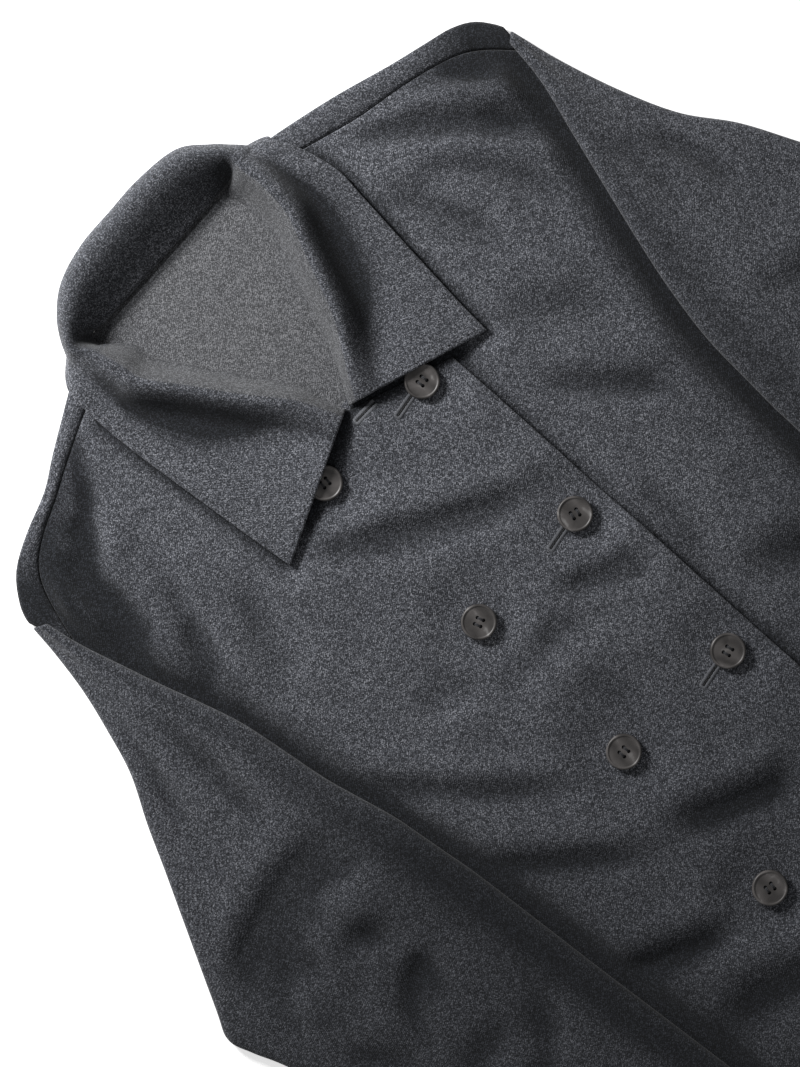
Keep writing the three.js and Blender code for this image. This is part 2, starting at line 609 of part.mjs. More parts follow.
// What a sleeve's inner half lies on: the shoulder strip, or the front
function layerBelowSleeve(side, y) {
  const onShoulder = ramp(side === "right" ? 8 : 30, side === "right" ? 44 : 70, y);
  return mix(ON_FRONT_Z, SHOULDER_FOLD_Z + CLOTH + SEAM_GAP + 0.5, onShoulder);
}

// A sleeve is one piece curled round. Above the underarm its two edges are sewn to the armhole, and below it
// they meet in the underarm seam.
const SLEEVE_STATIONS = 24;
const SLEEVE_SIDES = {
  right: { rows: RIGHT_SLEEVE, underarmY: -118, outward: -1 },
  left: { rows: LEFT_SLEEVE, underarmY: -101, outward: 1 },
};
function sleeveSection(side, at, counts) {
  const { rows, underarmY, outward } = SLEEVE_SIDES[side];
  const s = rowAt(rows, at);
  const width = Math.hypot(s.inX - s.outX, s.inY - s.outY);
  const place = (inset) => ({
    x: mix(s.outX, s.inX, inset / width),
    y: mix(s.outY, s.inY, inset / width),
  });
  const armholeInset = (ease) => {
    let low = 0;
    let high = width;
    for (let k = 0; k < 30; k += 1) {
      const half = (low + high) / 2;
      const { x, y } = place(half);
      if (outward * (x - sideX[side](y)) > ease) low = half;
      else high = half;
    }
    return low;
  };
  const belowUnderarm = underarmY - place(armholeInset(0)).y;
  const lift = ramp(-28, -4, belowUnderarm);
  const besideBody = armholeInset(mix(0.9, 3, ramp(-46, -16, belowUnderarm)));
  const backInset = mix(besideBody, width * 0.52, ramp(2, 150, belowUnderarm));
  const frontInset = mix(armholeInset(-0.6), backInset + SEAM_GAP, ramp(0, 16, belowUnderarm));
  const inner = width - s.inRound;
  const points = [];
  const add = (inset, z) => {
    const { x, y } = place(inset);
    points.push(new THREE.Vector3(x, y, z));
  };
  const edgeOfBody = Math.max(Math.min(armholeInset(2.5), backInset - 1), s.outRound + 1);
  const room = edgeOfBody - s.outRound;
  const edgeZ = mix(BACK_Z, ON_FRONT_Z, lift);
  const outLow = mix(BACK_Z, ON_FRONT_Z, lift * ramp(12, 2, room));
  add(backInset, edgeZ);
  add(edgeOfBody, edgeZ);
  add(room > 22 ? edgeOfBody - 11 : s.outRound + room / 2, room > 12 ? outLow : mix(outLow, edgeZ, 0.5));
  for (const t of stations(0, 1, counts.fold)) {
    const turn = Math.PI * t;
    add(s.outRound * (1 - Math.sin(turn)), (outLow + s.outZ) / 2 - ((s.outZ - outLow) / 2) * Math.cos(turn));
  }
  for (const t of stations(0, 1, counts.top).slice(1, -1)) {
    const inset = mix(s.outRound, inner, t);
    const { x, y } = place(inset);
    const fade = ramp(0, 0.2, t) * ramp(1, 0.82, t) * ramp(0, 1.4, at) * ramp(0, 0.8, rows.length - 1 - at);
    const crease = clamp(creaseHeight(SLEEVE_CREASES, x, y), -2.6, 3.4) * fade;
    add(inset, mix(s.outZ, s.inZ, ramp(-0.1, 0.9, t)) + crease);
  }
  const inLow = layerBelowSleeve(side, place(inner).y);
  for (const t of stations(0, 1, counts.fold)) {
    const turn = Math.PI * t;
    add(inner + s.inRound * Math.sin(turn), (inLow + s.inZ) / 2 + ((s.inZ - inLow) / 2) * Math.cos(turn));
  }
  for (const t of stations(0, 1, counts.front).slice(1)) {
    const inset = mix(inner, frontInset, t);
    add(inset, layerBelowSleeve(side, place(inset).y));
  }
  return points;
}
const SLEEVE_COUNTS = { fold: 4, top: 7, front: 3 };
function sleeve(side) {
  const { rows, outward } = SLEEVE_SIDES[side];
  const sections = stations(0, rows.length - 1, SLEEVE_STATIONS).map((at) => {
    const points = sleeveSection(side, at, SLEEVE_COUNTS);
    return outward > 0 ? points : points.reverse();
  });
  return clothWall(sections);
}

// A four-hole button with a raised rim
function solidOf(geometry) {
  const bare = new THREE.BufferGeometry();
  bare.setAttribute("position", geometry.getAttribute("position"));
  bare.setIndex(geometry.getIndex());
  const merged = mergeVertices(bare, 1e-4);
  const triangles = [];
  const index = merged.getIndex().array;
  for (let k = 0; k < index.length; k += 3) {
    const [a, b, c] = [index[k], index[k + 1], index[k + 2]];
    if (a !== b && b !== c && c !== a) triangles.push(a, b, c);
  }
  return new wasm.Manifold(new wasm.Mesh({
    numProp: 3,
    vertProperties: new Float32Array(merged.getAttribute("position").array),
    triVerts: new Uint32Array(triangles),
  }));
}
function buttonGeometry() {
  const profile = [
    [0, 0],
    [BUTTON_RADIUS - 1, 0],
    [BUTTON_RADIUS, 1.3],
    [BUTTON_RADIUS - 0.8, BUTTON_HEIGHT],
    [BUTTON_RADIUS - 3.2, BUTTON_HEIGHT - 0.8],
    [0, BUTTON_HEIGHT - 0.8],
  ].map(([radius, height]) => new THREE.Vector2(radius, height));
  let solid = solidOf(new THREE.LatheGeometry(profile, BUTTON_SIDES).rotateX(Math.PI / 2));
  for (const [signX, signY] of [[1, 1], [1, -1], [-1, 1], [-1, -1]]) {
    const drill = new THREE.CylinderGeometry(HOLE_RADIUS, HOLE_RADIUS, 3 * BUTTON_HEIGHT, 4)
      .rotateX(Math.PI / 2)
      .translate(signX * HOLE_OFFSET, signY * HOLE_OFFSET, 0);
    solid = solid.subtract(solidOf(drill));
  }
  const mesh = solid.getMesh();
  const geometry = new THREE.BufferGeometry();
  geometry.setAttribute("position", new THREE.Float32BufferAttribute(mesh.vertProperties, 3));
  geometry.setIndex(new THREE.Uint32BufferAttribute(mesh.triVerts, 1));
  geometry.computeVertexNormals();
  return geometry;
}

const wool = new THREE.MeshStandardMaterial({ color: 0x4b4d52, roughness: 0.95, metalness: 0 });
const horn = new THREE.MeshStandardMaterial({ color: 0x3e3a38, roughness: 0.4, metalness: 0 });

// The highest point of a piece below a round button
function highestPoint(mesh, x, y, radius) {
  const down = new THREE.Vector3(0, 0, -1);
  const heights = [];
  for (const ring of [0, radius / 2, radius]) {
    for (let k = 0; k < BUTTON_SIDES; k += 1) {
      const turn = (2 * Math.PI * k) / BUTTON_SIDES;
      const from = new THREE.Vector3(x + ring * Math.cos(turn), y + ring * Math.sin(turn), 50);
      const [hit] = new THREE.Raycaster(from, down).intersectObject(mesh);
      if (hit) heights.push(hit.point.z);
    }
  }
  return Math.max(...heights);
}

const jacket = new THREE.Group();
function addPiece(name, geometry, material) {
  const mesh = new THREE.Mesh(geometry, material.clone());
  mesh.name = name;
  jacket.add(mesh);
  return mesh;
}
addPiece("back", back(), wool);
addPiece("front_left", front("left", LEFT_FRONT_TOP, frontLeftZ), wool);
const overlap = addPiece("front_right", front("right", RIGHT_FRONT_TOP, frontRightZ), wool);
addPiece("collar", collar(), wool);
addPiece("sleeve_left", sleeve("left"), wool);
addPiece("sleeve_right", sleeve("right"), wool);
for (const { row, outerX, outerY, innerX, innerY } of BUTTON_ROWS) {
  for (const [name, x, y] of [["outer", outerX, outerY], ["inner", innerX, innerY]]) {
    const button = addPiece(`button_${name}_${row}`, buttonGeometry(), horn);
    button.position.set(x, y, highestPoint(overlap, x, y, BUTTON_RADIUS) + SEAM_GAP);
  }
}

const bounds = new THREE.Box3().setFromObject(jacket);
const middle = bounds.getCenter(new THREE.Vector3());
jacket.position.set(-middle.x, -middle.y, -bounds.min.z);

export default jacket;
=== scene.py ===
# The jacket's cloth, collar, buttons and stitching, with light and camera. Drawn in millimetres, with x = 0 at
# the centre front and y = 0 at the first row of buttons, and moved into the model's frame as it is made.
import math

import bpy
import numpy as np
from mathutils import Matrix, Vector


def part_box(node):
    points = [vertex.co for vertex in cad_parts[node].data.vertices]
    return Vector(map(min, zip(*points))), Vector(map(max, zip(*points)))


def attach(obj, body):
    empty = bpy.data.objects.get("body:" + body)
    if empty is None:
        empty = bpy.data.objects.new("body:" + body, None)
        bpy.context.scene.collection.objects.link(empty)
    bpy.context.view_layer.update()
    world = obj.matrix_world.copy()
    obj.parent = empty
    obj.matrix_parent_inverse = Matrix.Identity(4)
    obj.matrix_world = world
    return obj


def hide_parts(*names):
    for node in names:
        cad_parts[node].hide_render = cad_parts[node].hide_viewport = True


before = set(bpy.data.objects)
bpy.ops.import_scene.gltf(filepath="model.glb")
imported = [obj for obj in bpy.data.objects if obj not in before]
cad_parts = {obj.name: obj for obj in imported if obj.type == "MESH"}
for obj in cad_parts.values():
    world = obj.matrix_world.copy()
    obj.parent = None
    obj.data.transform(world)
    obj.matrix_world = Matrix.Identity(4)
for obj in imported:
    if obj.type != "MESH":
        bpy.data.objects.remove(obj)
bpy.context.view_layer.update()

# Cloth and the heights of its layers
CLOTH = 1.5
HALF = CLOTH / 2
SEAM_GAP = 0.3
BACK_Z = HALF
FRONT_Z = BACK_Z + CLOTH + SEAM_GAP
OVERLAP_Z = FRONT_Z + CLOTH + SEAM_GAP
SHOULDER_SEAM_Z = 3.3
SHOULDER_FOLD_Z = 4.2
# How far the fronts stand up from their layer, how much deeper their main folds are than in the table,
# and the swelling beside the sleeves
PUFF = 3.1
FOLD_GAIN = 1.55
BESIDE_SLEEVE = 1.7

# Body
HEM_Y = -464
FRONT_EDGE_X = 61
CORNER_Y = -5.1
NECK_POINT_Y = 18
BACK_NECK_Y = 155.2
BACK_NECK_ENDS = (-66, 54)
NECK_EASE = 1.5
SHOULDER_GAP = 0.5

# Buttons
BUTTON_RADIUS = 10.15
BUTTON_HEIGHT = 2.8
HOLE_RADIUS = 1.05
HOLE_OFFSET = 1.9
BUTTONS = [
    ("outer_1", 39.4, -1.3), ("outer_2", 40.8, -114.8), ("outer_3", 40.5, -229.8), ("outer_4", 40.2, -341.5),
    ("inner_1", -39.4, 1.3), ("inner_2", -40.2, -114.9), ("inner_3", -40.5, -223.9), ("inner_4", -43, -335.7),
]

button_low, button_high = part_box("button_outer_1")
SHIFT = np.array([
    500 * (button_low[0] + button_high[0]) - BUTTONS[0][1],
    500 * (button_low[1] + button_high[1]) - BUTTONS[0][2],
    0.0,
])


def table(columns, rows):
    return dict(zip(columns.split(), np.array(rows, dtype=float).T))


# The sides of the body from the hem up, through the underarm, to the tip of the shoulder
RIGHT_SIDE = table("y x", [
    [-464, -256], [-380, -253], [-300, -250], [-210, -243], [-118, -236], [-88, -214], [-60, -203],
    [-30, -197.5], [0, -196.5], [20, -198], [42, -201], [60, -204], [70.5, -206.6], [74.2, -209],
])
LEFT_SIDE = table("y x", [
    [-464, 256], [-380, 254], [-300, 252], [-200, 245], [-101, 238], [-80, 221], [-60, 211], [-38, 204],
    [-10, 202], [15, 203.5], [42, 208], [60, 212.3], [80, 216.3], [90, 217.6], [98, 218.6],
])

# Shoulders from the neck out: the fold at the outline, and the seam where the front begins
RIGHT_SHOULDER = table("foldX foldY seamX seamY", [
    [-71, 155.6, -71, 140.2], [-90, 146.8, -88, 133.4], [-108, 137.6, -107, 126.2], [-130.5, 126, -127, 118],
    [-148, 116.2, -147, 109], [-172, 108, -166, 101], [-192, 98.2, -181, 91], [-204.5, 84.5, -191, 75],
    [-209, 74.2, -201.1, 43],
])
LEFT_SHOULDER = table("foldX foldY seamX seamY", [
    [62, 157.6, 62, 145], [82, 154.2, 80, 139.8], [104, 148.6, 102, 132.4], [130, 141, 127, 124.2],
    [160.5, 130.5, 154, 118], [184, 123.4, 176, 111.5], [199, 118.6, 191, 105], [210.5, 111, 202.5, 96],
    [218.6, 98, 216.3, 80],
])

# Collar sections from the left leaf's front end round the neck to the right leaf's front end
COLLAR = table("x y seamZ outX outY lean rollZ foot footZ edgeZ under", [
    [1.7, 20, 5, 85, -9.5, 5.6, 8.6, 24, 10.2, 5.6, 0],
    [11.2, 31.6, 4, 86.3, 10, 4.2, 13.2, 22, 8.8, 5.3, 0],
    [20.4, 44.3, 3.9, 88.2, 30, 4.2, 16.2, 21, 7.6, 5.2, 0],
    [32.2, 61.3, 3.9, 90.4, 52, 4.2, 18, 20, 7, 5.2, 0],
    [47.9, 95.6, 3.9, 94.6, 92, 4.2, 18.5, 19.5, 7.4, 5.2, 0],
    [56.9, 116.3, 3.9, 96.4, 112, 4.2, 18.5, 18.5, 8.2, 5.6, 0],
    [59.7, 137.1, 4.6, 92, 134.5, 4, 18.5, 16.5, 10, 6.6, 0],
    [58.9, 148, 4.6, 85.4, 150.2, 4, 18.2, 15, 11.5, 6.8, 0],
    [57.4, 153, 4.2, 82.6, 155.9, 5, 17.8, 15.5, 10.6, 3.8, 0],
    [54.5, 156.3, 2.8, 69.4, 165.2, 9, 17, 15, 9, 0.75, 6],
    [45, 156, 1, 60, 175, 19, 16.5, 21.5, 9, 0.75, 16],
    [33, 156, 1, 44.5, 188, 28, 15.5, 31, 9, 0.75, 25],
    [16, 156, 1, 18.1, 192.6, 31.4, 15, 34, 9, 0.75, 29],
    [-6, 156, 1, -6, 192.6, 31.4, 15, 34, 9, 0.75, 29],
    [-28, 156, 1, -31, 192, 30.6, 15, 33.5, 9, 0.75, 29],
    [-45, 156, 1, -54, 186.4, 26, 15.5, 29.5, 9, 0.75, 24],
    [-56.5, 156, 1, -70.5, 175, 17.5, 16.5, 21, 9, 0.75, 13],
    [-65, 155.9, 2.8, -82.5, 160.5, 8.5, 17.4, 15, 10, 0.75, 4],
    [-68.4, 150.5, 4.2, -93.8, 147.4, 4.5, 18, 16, 11, 3.8, 0],
    [-67, 141.5, 4.6, -97.8, 136.8, 4, 18.5, 17.5, 11, 6.8, 0],
    [-64.6, 129, 3.9, -98.3, 122, 4.2, 18.5, 18.5, 8.8, 5.8, 0],
    [-62.2, 115.5, 3.9, -98.2, 106, 4.2, 18.3, 19, 7.8, 5.2, 0],
    [-48, 93.3, 3.9, -97.2, 88, 4.2, 17.8, 20, 7.2, 5.2, 0],
    [-33.9, 70.9, 3.9, -95.3, 66, 4.2, 17.2, 20.5, 7.2, 5.2, 0],
    [-23.4, 56.6, 4.4, -93.3, 46, 4.2, 16, 21, 7.6, 5.2, 0],
    [-13.7, 44.3, 5.6, -91.4, 26, 4.2, 14.2, 21, 8.2, 5.2, 0],
    [-7, 31.8, 5.8, -89.2, 5, 4.4, 11.8, 21.5, 9.2, 5.3, 0],
    [-0.7, 20, 6.2, -87, -15, 5.4, 9, 24, 11.2, 6, 0],
])

# Sleeves from the shoulder to the cuff: the outer fold, the inner fold over the front, the height of the upper
# layer's middle beside each fold, and how wide the two folds are rounded
RIGHT_SLEEVE = table("outX outY inX inY outZ inZ outRound inRound", [
    [-208.8, 69.2, -202.6, 65.4, 7.6, 9.4, 3, 2.6],
    [-211.4, 50, -199, 45, 7.6, 11.4, 3.6, 3.6],
    [-216.4, 25, -192.4, 20, 7.6, 12, 4, 4.6],
    [-224, 0, -185.2, -6, 7, 12, 4.4, 5],
    [-233.5, -26, -178.4, -28, 6.6, 11.6, 4.6, 5],
    [-248.5, -52, -171.4, -54, 6.4, 11, 4.6, 5],
    [-261, -76, -167, -84, 6.2, 10.8, 4.6, 5],
    [-274.4, -101, -163, -112, 6.2, 10.6, 4.6, 5],
    [-300, -149, -154.4, -150, 6, 10.4, 4.6, 5],
    [-308.6, -166, -151.6, -170, 6, 10.4, 4.6, 5],
    [-305, -181, -149.4, -188, 6, 10.4, 4.6, 5],
    [-298, -200, -147, -208, 6, 10.2, 4.6, 5],
    [-287, -240, -144, -248, 6.4, 10.2, 4.6, 5],
    [-277, -290, -140.6, -296, 7, 10.2, 4.6, 5],
    [-267, -350, -136, -354, 8, 10, 4.6, 5],
    [-258, -412, -132, -414, 9, 9.8, 4.6, 4.6],
    [-250.5, -486, -131.6, -486, 8.4, 9, 4.2, 4.2],
])
LEFT_SLEEVE = table("outX outY inX inY outZ inZ outRound inRound", [
    [219, 92, 214.2, 88.4, 7.6, 9.4, 2.8, 2.6],
    [224.6, 62, 209.4, 60, 7.6, 11.8, 3.8, 4],
    [234.6, 25, 199, 26, 7.4, 12.4, 4.2, 5],
    [247.6, -9, 188.6, -8, 7, 12, 4.6, 5],
    [265.8, -38, 179.6, -38, 6.6, 11.6, 4.6, 5],
    [280.4, -70, 171.4, -68, 6.4, 11.2, 4.6, 5],
    [298, -109, 164.2, -104, 6.2, 11, 4.6, 5],
    [311.4, -140, 161.4, -140, 6, 10.6, 4.6, 5],
    [310, -156, 160.2, -158, 6, 10.4, 4.6, 5],
    [303, -178, 159.4, -182, 6, 10.4, 4.6, 5],
    [293, -218, 156, -222, 6.4, 10.2, 4.6, 5],
    [284, -264, 151.4, -268, 7, 10.2, 4.6, 5],
    [275, -324, 146.4, -326, 8, 10, 4.6, 5],
    [265, -392, 141, -392, 9, 9.8, 4.6, 4.6],
    [256, -476, 137.4, -476, 8.4, 9, 4.2, 4.2],
])

# Creases, a row each of x0 y0 x1 y1 bow width depth side: a trough from (x0, y0) to (x1, y1), bowed to its
# left, with a softer ridge beside it, on its left when side is 1 and on its right when side is -1
FRONT_CREASES = [
    [-72, -20, 38, -92, -5, 9, 3.2, 1],
    [-150, -126, -78, -214, -4, 7, 2.6, 1],
    [-140, -205, -70, -276, -3, 8, 2.6, 1],
    [-52, -272, 14, -304, -3, 10, 3.4, 1],
    [-136, -304, -70, -338, -2, 10, 2.8, 1],
    [4, -140, 54, -162, 2, 9, 2.2, 1],
    [-60, -150, -8, -158, 3, 12, 1.6, -1],
    [-28, -176, -12, -212, 0, 13, 1.6, 1],
    [-100, -122, -64, -140, 0, 10, 1.3, -1],
    [-172, 84, -184, 8, 5, 11, 3.2, -1],
    [-150, 98, -164, 62, 3, 8, 2.2, 1],
    [-128, 104, -156, 70, 2, 9, 1.5, 1],
    [-150, 6, -166, -34, 0, 10, 2.2, 1],
    [-118, -4, -142, -62, 4, 15, 1.4, 1],
    [-118, -366, -34, -404, 5, 13, 2.4, 1],
    [-20, -352, 40, -376, -3, 11, 1.8, 1],
    [-96, -420, 10, -438, 3, 14, 1.6, -1],
    [114, 118, 192, 44, 8, 8, 3.4, 1],
    [100, 90, 132, 14, 5, 9, 2.2, 1],
    [128, 78, 176, 8, 5, 7, 2, 1],
    [176, 108, 196, 82, 0, 11, 2.8, -1],
    [86, -52, 132, -104, -4, 10, 2.4, 1],
    [96, -8, 142, -52, 3, 13, 1.3, 1],
    [76, -128, 72, -186, 2, 10, 2, -1],
    [84, -206, 142, -252, 4, 12, 2.4, 1],
    [88, -268, 140, -340, -4, 12, 2, 1],
    [70, -322, 96, -396, 3, 12, 2, -1],
    [84, -400, 134, -440, 2, 13, 1.6, 1],
]
SLEEVE_CREASES = [
    [-298, -156, -188, -128, 7, 10, 3.2, 1],
    [-268, -168, -236, -178, 2, 13, 2.2, -1],
    [-230, -180, -200, -192, 3, 8, 2, 1],
    [-238, -250, -198, -214, 7, 9, 2.6, 1],
    [-276, -222, -246, -256, 3, 9, 2, 1],
    [-222, 6, -238, -66, 3, 8, 2.2, -1],
    [-200, -14, -206, -100, 3, 9, 2.4, 1],
    [-258, -292, -196, -276, 5, 10, 2, -1],
    [-172, -276, -226, -330, 4, 10, 2, 1],
    [-244, -382, -188, -366, 4, 11, 1.8, 1],
    [-162, -396, -206, -442, 3, 10, 1.6, -1],
    [228, -8, 242, -62, 2, 8, 2.4, 1],
    [206, 16, 212, -42, 3, 9, 2, -1],
    [300, -132, 206, -112, 6, 10, 2.8, -1],
    [286, -164, 238, -172, 3, 12, 2.2, 1],
    [268, -214, 206, -200, 5, 9, 2.4, 1],
    [186, -232, 236, -282, 3, 10, 2.2, -1],
    [258, -338, 204, -316, 4, 11, 1.8, 1],
    [170, -372, 222, -420, 3, 10, 1.6, 1],
]
# Finer creases, only on the visible cloth
FRONT_FINE_CREASES = [
    [120, 118, 183, 40, 2, 5, 1.6, -1],
    [107, 94, 175, -1, 2, 4, 0.8, -1],
    [85, 82, 129, 1, 2, 4, 0.8, -1],
    [82, 57, 110, 11, 2, 4, 0.5, -1],
    [94, -62, 130, -112, 2, 6, 1.2, -1],
    [4, -138, 52, -173, 2, 7, 1.4, 1],
    [-25, -145, 20, -171, 2, 7, 1, 1],
    [-145, -60, -104, -125, 2, 5, 0.6, -1],
    [-109, 136, -152, 78, 2, 6, 1.6, -1],
    [-138, 40, -162, -24, 2, 7, 1.8, 1],
    [-167, 61, -170, 11, 2, 8, 1.5, 1],
    [-144, -1, -166, -55, 2, 6, 1, -1],
    [-78, -313, -49, -326, 2, 6, 1, -1],
    [32, -238, 76, -248, 2, 8, 1.4, 1],
    [-113, 0, -132, -32, 2, 9, 0.7, 1],
    [-82, -105, -54, -159, 2, 8, 0.6, 1],
    [-39, -83, 8, -119, 2, 9, 0.5, 1],
]
SLEEVE_FINE_CREASES = [
    [-183, -137, -281, -154, 2, 15, 2, 1],
    [-225, -155, -209, -195, 2, 7, 1.4, 1],
    [-202, -212, -211, -243, 2, 8, 1.6, 1],
    [-176, -154, -213, -144, 2, 8, 1, 1],
    [-206, -36, -205, -107, 2, 6, 1, -1],
    [-222, -19, -242, -92, 2, 7, 0.8, 1],
    [-271, -157, -282, -197, 2, 9, 1.2, 1],
    [224, 3, 243, -50, 2, 8, 1.4, 1],
    [185, -55, 201, -92, 2, 9, 0.8, 1],
]


def mix(a, b, t):
    return a + (b - a) * t


def ramp(start, end, value):
    t = np.clip((value - start) / (end - start), 0, 1)
    return t * t * (3 - 2 * t)


def bell(distance, width):
    return np.exp(-((distance / width) ** 2))


def smooth(stations, values, at):
    """A smooth curve through values at rising stations."""
    at = np.asarray(at, dtype=float)
    secant = np.diff(values) / np.diff(stations)
    slope = np.empty_like(values)
    slope[0], slope[-1] = secant[0], secant[-1]
    before, after = np.diff(stations)[:-1], np.diff(stations)[1:]
    slope[1:-1] = (after * secant[:-1] + before * secant[1:]) / (before + after)
    k = np.clip(np.searchsorted(stations, at, side="left") - 1, 0, len(stations) - 2)
    span = stations[k + 1] - stations[k]
    t = np.clip((at - stations[k]) / span, 0, 1)
    t2, t3 = t * t, t * t * t
    return (
        (2 * t3 - 3 * t2 + 1) * values[k] + (t3 - 2 * t2 + t) * span * slope[k]
        + (3 * t2 - 2 * t3) * values[k + 1] + (t3 - t2) * span * slope[k + 1]
    )


def row_at(rows, at):
    numbers = np.arange(len(next(iter(rows.values()))), dtype=float)
    return {name: smooth(numbers, values, at) for name, values in rows.items()}


def against(rows, start, end, at):
    order = np.argsort(rows[start])
    return smooth(rows[start][order], rows[end][order], at)


def side_x(side, y):
    rows = RIGHT_SIDE if side == "right" else LEFT_SIDE
    ys, xs = rows["y"], rows["x"]
    above = xs[-1] + (y - ys[-1]) * (xs[-1] - xs[-2]) / (ys[-1] - ys[-2])
    below = xs[0] + (y - ys[0]) * (xs[1] - xs[0]) / (ys[1] - ys[0])
    return np.where(y > ys[-1], above, np.where(y < ys[0], below, np.interp(y, ys, xs)))


def crease_height(creases, x, y):
    height = np.zeros_like(x, dtype=float)
    for x0, y0, x1, y1, bow, width, depth, side in creases:
        length = math.hypot(x1 - x0, y1 - y0)
        along_x, along_y = (x1 - x0) / length, (y1 - y0) / length
        t = ((x - x0) * along_x + (y - y0) * along_y) / length
        across = (y - y0) * along_x - (x - x0) * along_y - bow * 4 * t * (1 - t)
        ends = ramp(-0.16, 0.3, t) * ramp(1.16, 0.7, t)
        trough = bell(across, width)
        ridge = bell(across - 1.7 * side * width, 1.15 * width)
        height += np.where(np.abs(across) > 5 * width, 0, depth * ends * (0.5 * ridge - trough))
    return height


# The side of the table of random heights, and how far below 0 places are still looked up in it
LATTICE = 97
BEYOND = 1200


def unevenness(x, y, size, seed):
    """Soft random heights between -1 and 1 that change over about size."""
    lattice = np.random.default_rng(seed).uniform(-1, 1, (LATTICE, LATTICE))
    gx, gy = (x + BEYOND) / size, (y + BEYOND) / size
    i, j = np.floor(gx).astype(int), np.floor(gy).astype(int)
    fx, fy = gx - i, gy - j
    fx, fy = fx * fx * (3 - 2 * fx), fy * fy * (3 - 2 * fy)
    pick = lambda a, b: lattice[a % LATTICE, b % LATTICE]
    return mix(mix(pick(i, j), pick(i + 1, j), fx), mix(pick(i, j + 1), pick(i + 1, j + 1), fx), fy)


def rumple(x, y, seed):
    turned = 0.8 * x + 0.6 * y, 0.8 * y - 0.6 * x
    return (
        0.55 * unevenness(x, y, 46, seed) + 0.3 * unevenness(*turned, 21, seed + 1)
        + 0.1 * unevenness(x, y, 9, seed + 2)
    )


def leaf_front_y(x):
    """The front edges of the collar's leaves, from the middle of the throat out to their points."""
    return np.where(x > 0.5, mix(20, -9.5, (x - 0.5) / 84.5), mix(20, -15, (0.5 - x) / 87.5))


LEAF_SIDE_LEFT = table("y x", [[-15, 86], [30, 89], [70, 93.5], [112, 97.5], [150, 88], [160, 80]])
LEAF_SIDE_RIGHT = table("y x", [[-15, -89], [30, -93], [70, -97], [106, -100], [138, -99], [160, -90]])


def under_leaf(x, y):
    beyond_front = ramp(-14, -2, y - leaf_front_y(np.clip(x, -88, 86)))
    inside_left = ramp(12, 2, x - against(LEAF_SIDE_LEFT, "y", "x", y))
    inside_right = ramp(-12, -2, x - against(LEAF_SIDE_RIGHT, "y", "x", y))
    return beyond_front * inside_left * inside_right


def from_sleeves(x, y):
    """How far a place lies inside the right sleeve's inner fold, and inside the left one's."""
    return x - against(RIGHT_SLEEVE, "inY", "inX", y), against(LEFT_SLEEVE, "inY", "inX", y) - x


def clear_of_sleeves(x, y):
    right, left = from_sleeves(x, y)
    return ramp(2, 19, right) * ramp(2, 19, left)


def beside_sleeves(x, y):
    """The cloth swells a little before it dips under a sleeve."""
    right, left = from_sleeves(x, y)
    return bell(right - 21, 9) + bell(left - 21, 9)


def clear_of_buttons(x, y):
    clear = np.ones_like(x)
    for _, button_x, button_y in BUTTONS:
        clear = clear * ramp(12, 38, np.hypot(x - button_x, y - button_y))
    return clear


def shoulder_seams(x):
    right = against(RIGHT_SHOULDER, "seamX", "seamY", np.clip(x, -201, -71))
    left = against(LEFT_SHOULDER, "seamX", "seamY", np.clip(x, 62, 216))
    return right, left


def near_shoulder_seam(x, y):
    right, left = shoulder_seams(x)
    seam = np.where(x < -71, right, np.where(x > 62, left, 140))
    return ramp(-20, -1, y - seam)


def front_lift(x, y):
    raw = PUFF + FOLD_GAIN * crease_height(FRONT_CREASES, x, y) + crease_height(FRONT_FINE_CREASES, x, y)
    raw = raw + rumple(x, y, 11) + BESIDE_SLEEVE * beside_sleeves(x, y)
    soft = (raw + np.sqrt(raw * raw + 0.4)) / 2
    free = clear_of_sleeves(x, y) * clear_of_buttons(x, y) * (1 - under_leaf(x, y))
    return soft * free * (1 - near_shoulder_seam(x, y)) * ramp(HEM_Y - 6, HEM_Y + 26, y)


def shoulder_rise(x, y):
    return (SHOULDER_SEAM_Z - FRONT_Z) * near_shoulder_seam(x, y)


def front_left_z(x, y):
    beside_overlap = ramp(FRONT_EDGE_X + 5, FRONT_EDGE_X + 24, x)
    return FRONT_Z + front_lift(x, y) * beside_overlap + shoulder_rise(x, y)


def front_right_z(x, y):
    reach = (np.clip(x, -FRONT_EDGE_X, 0) + FRONT_EDGE_X) / FRONT_EDGE_X
    top_of_layer_below = mix(CORNER_Y, NECK_POINT_Y, reach)
    over = ramp(-FRONT_EDGE_X - 22, -FRONT_EDGE_X - 4, x) * ramp(46, 26, y - top_of_layer_below)
    return mix(FRONT_Z, OVERLAP_Z, over) + front_lift(x, y) + shoulder_rise(x, y)


# Mesh making


def to_frame(points):
    return (np.asarray(points, dtype=float) + SHIFT) / 1000


def new_object(name, data):
    thing = bpy.data.objects.new(name, data)
    bpy.context.scene.collection.objects.link(thing)
    return thing


def make_mesh(name, points, faces, material, uv=None, slots=None):
    """An object from points in drawing millimetres and faces of three or four corners."""
    mesh = bpy.data.meshes.new(name)
    mesh.from_pydata(to_frame(points).tolist(), [], faces)
    if uv is not None:
        layer = mesh.uv_layers.new(name="cloth")
        corner = np.empty(len(mesh.loops), dtype=np.int32)
        mesh.loops.foreach_get("vertex_index", corner)
        layer.data.foreach_set("uv", (np.asarray(uv, dtype=float)[corner] / 1000).ravel())
    mesh.polygons.foreach_set("use_smooth", [True] * len(mesh.polygons))
    mesh.materials.append(material)
    if slots is not None:
        mesh.materials.append(wool_inside)
        mesh.polygons.foreach_set("material_index", slots)
    mesh.update()
    return new_object(name, mesh)


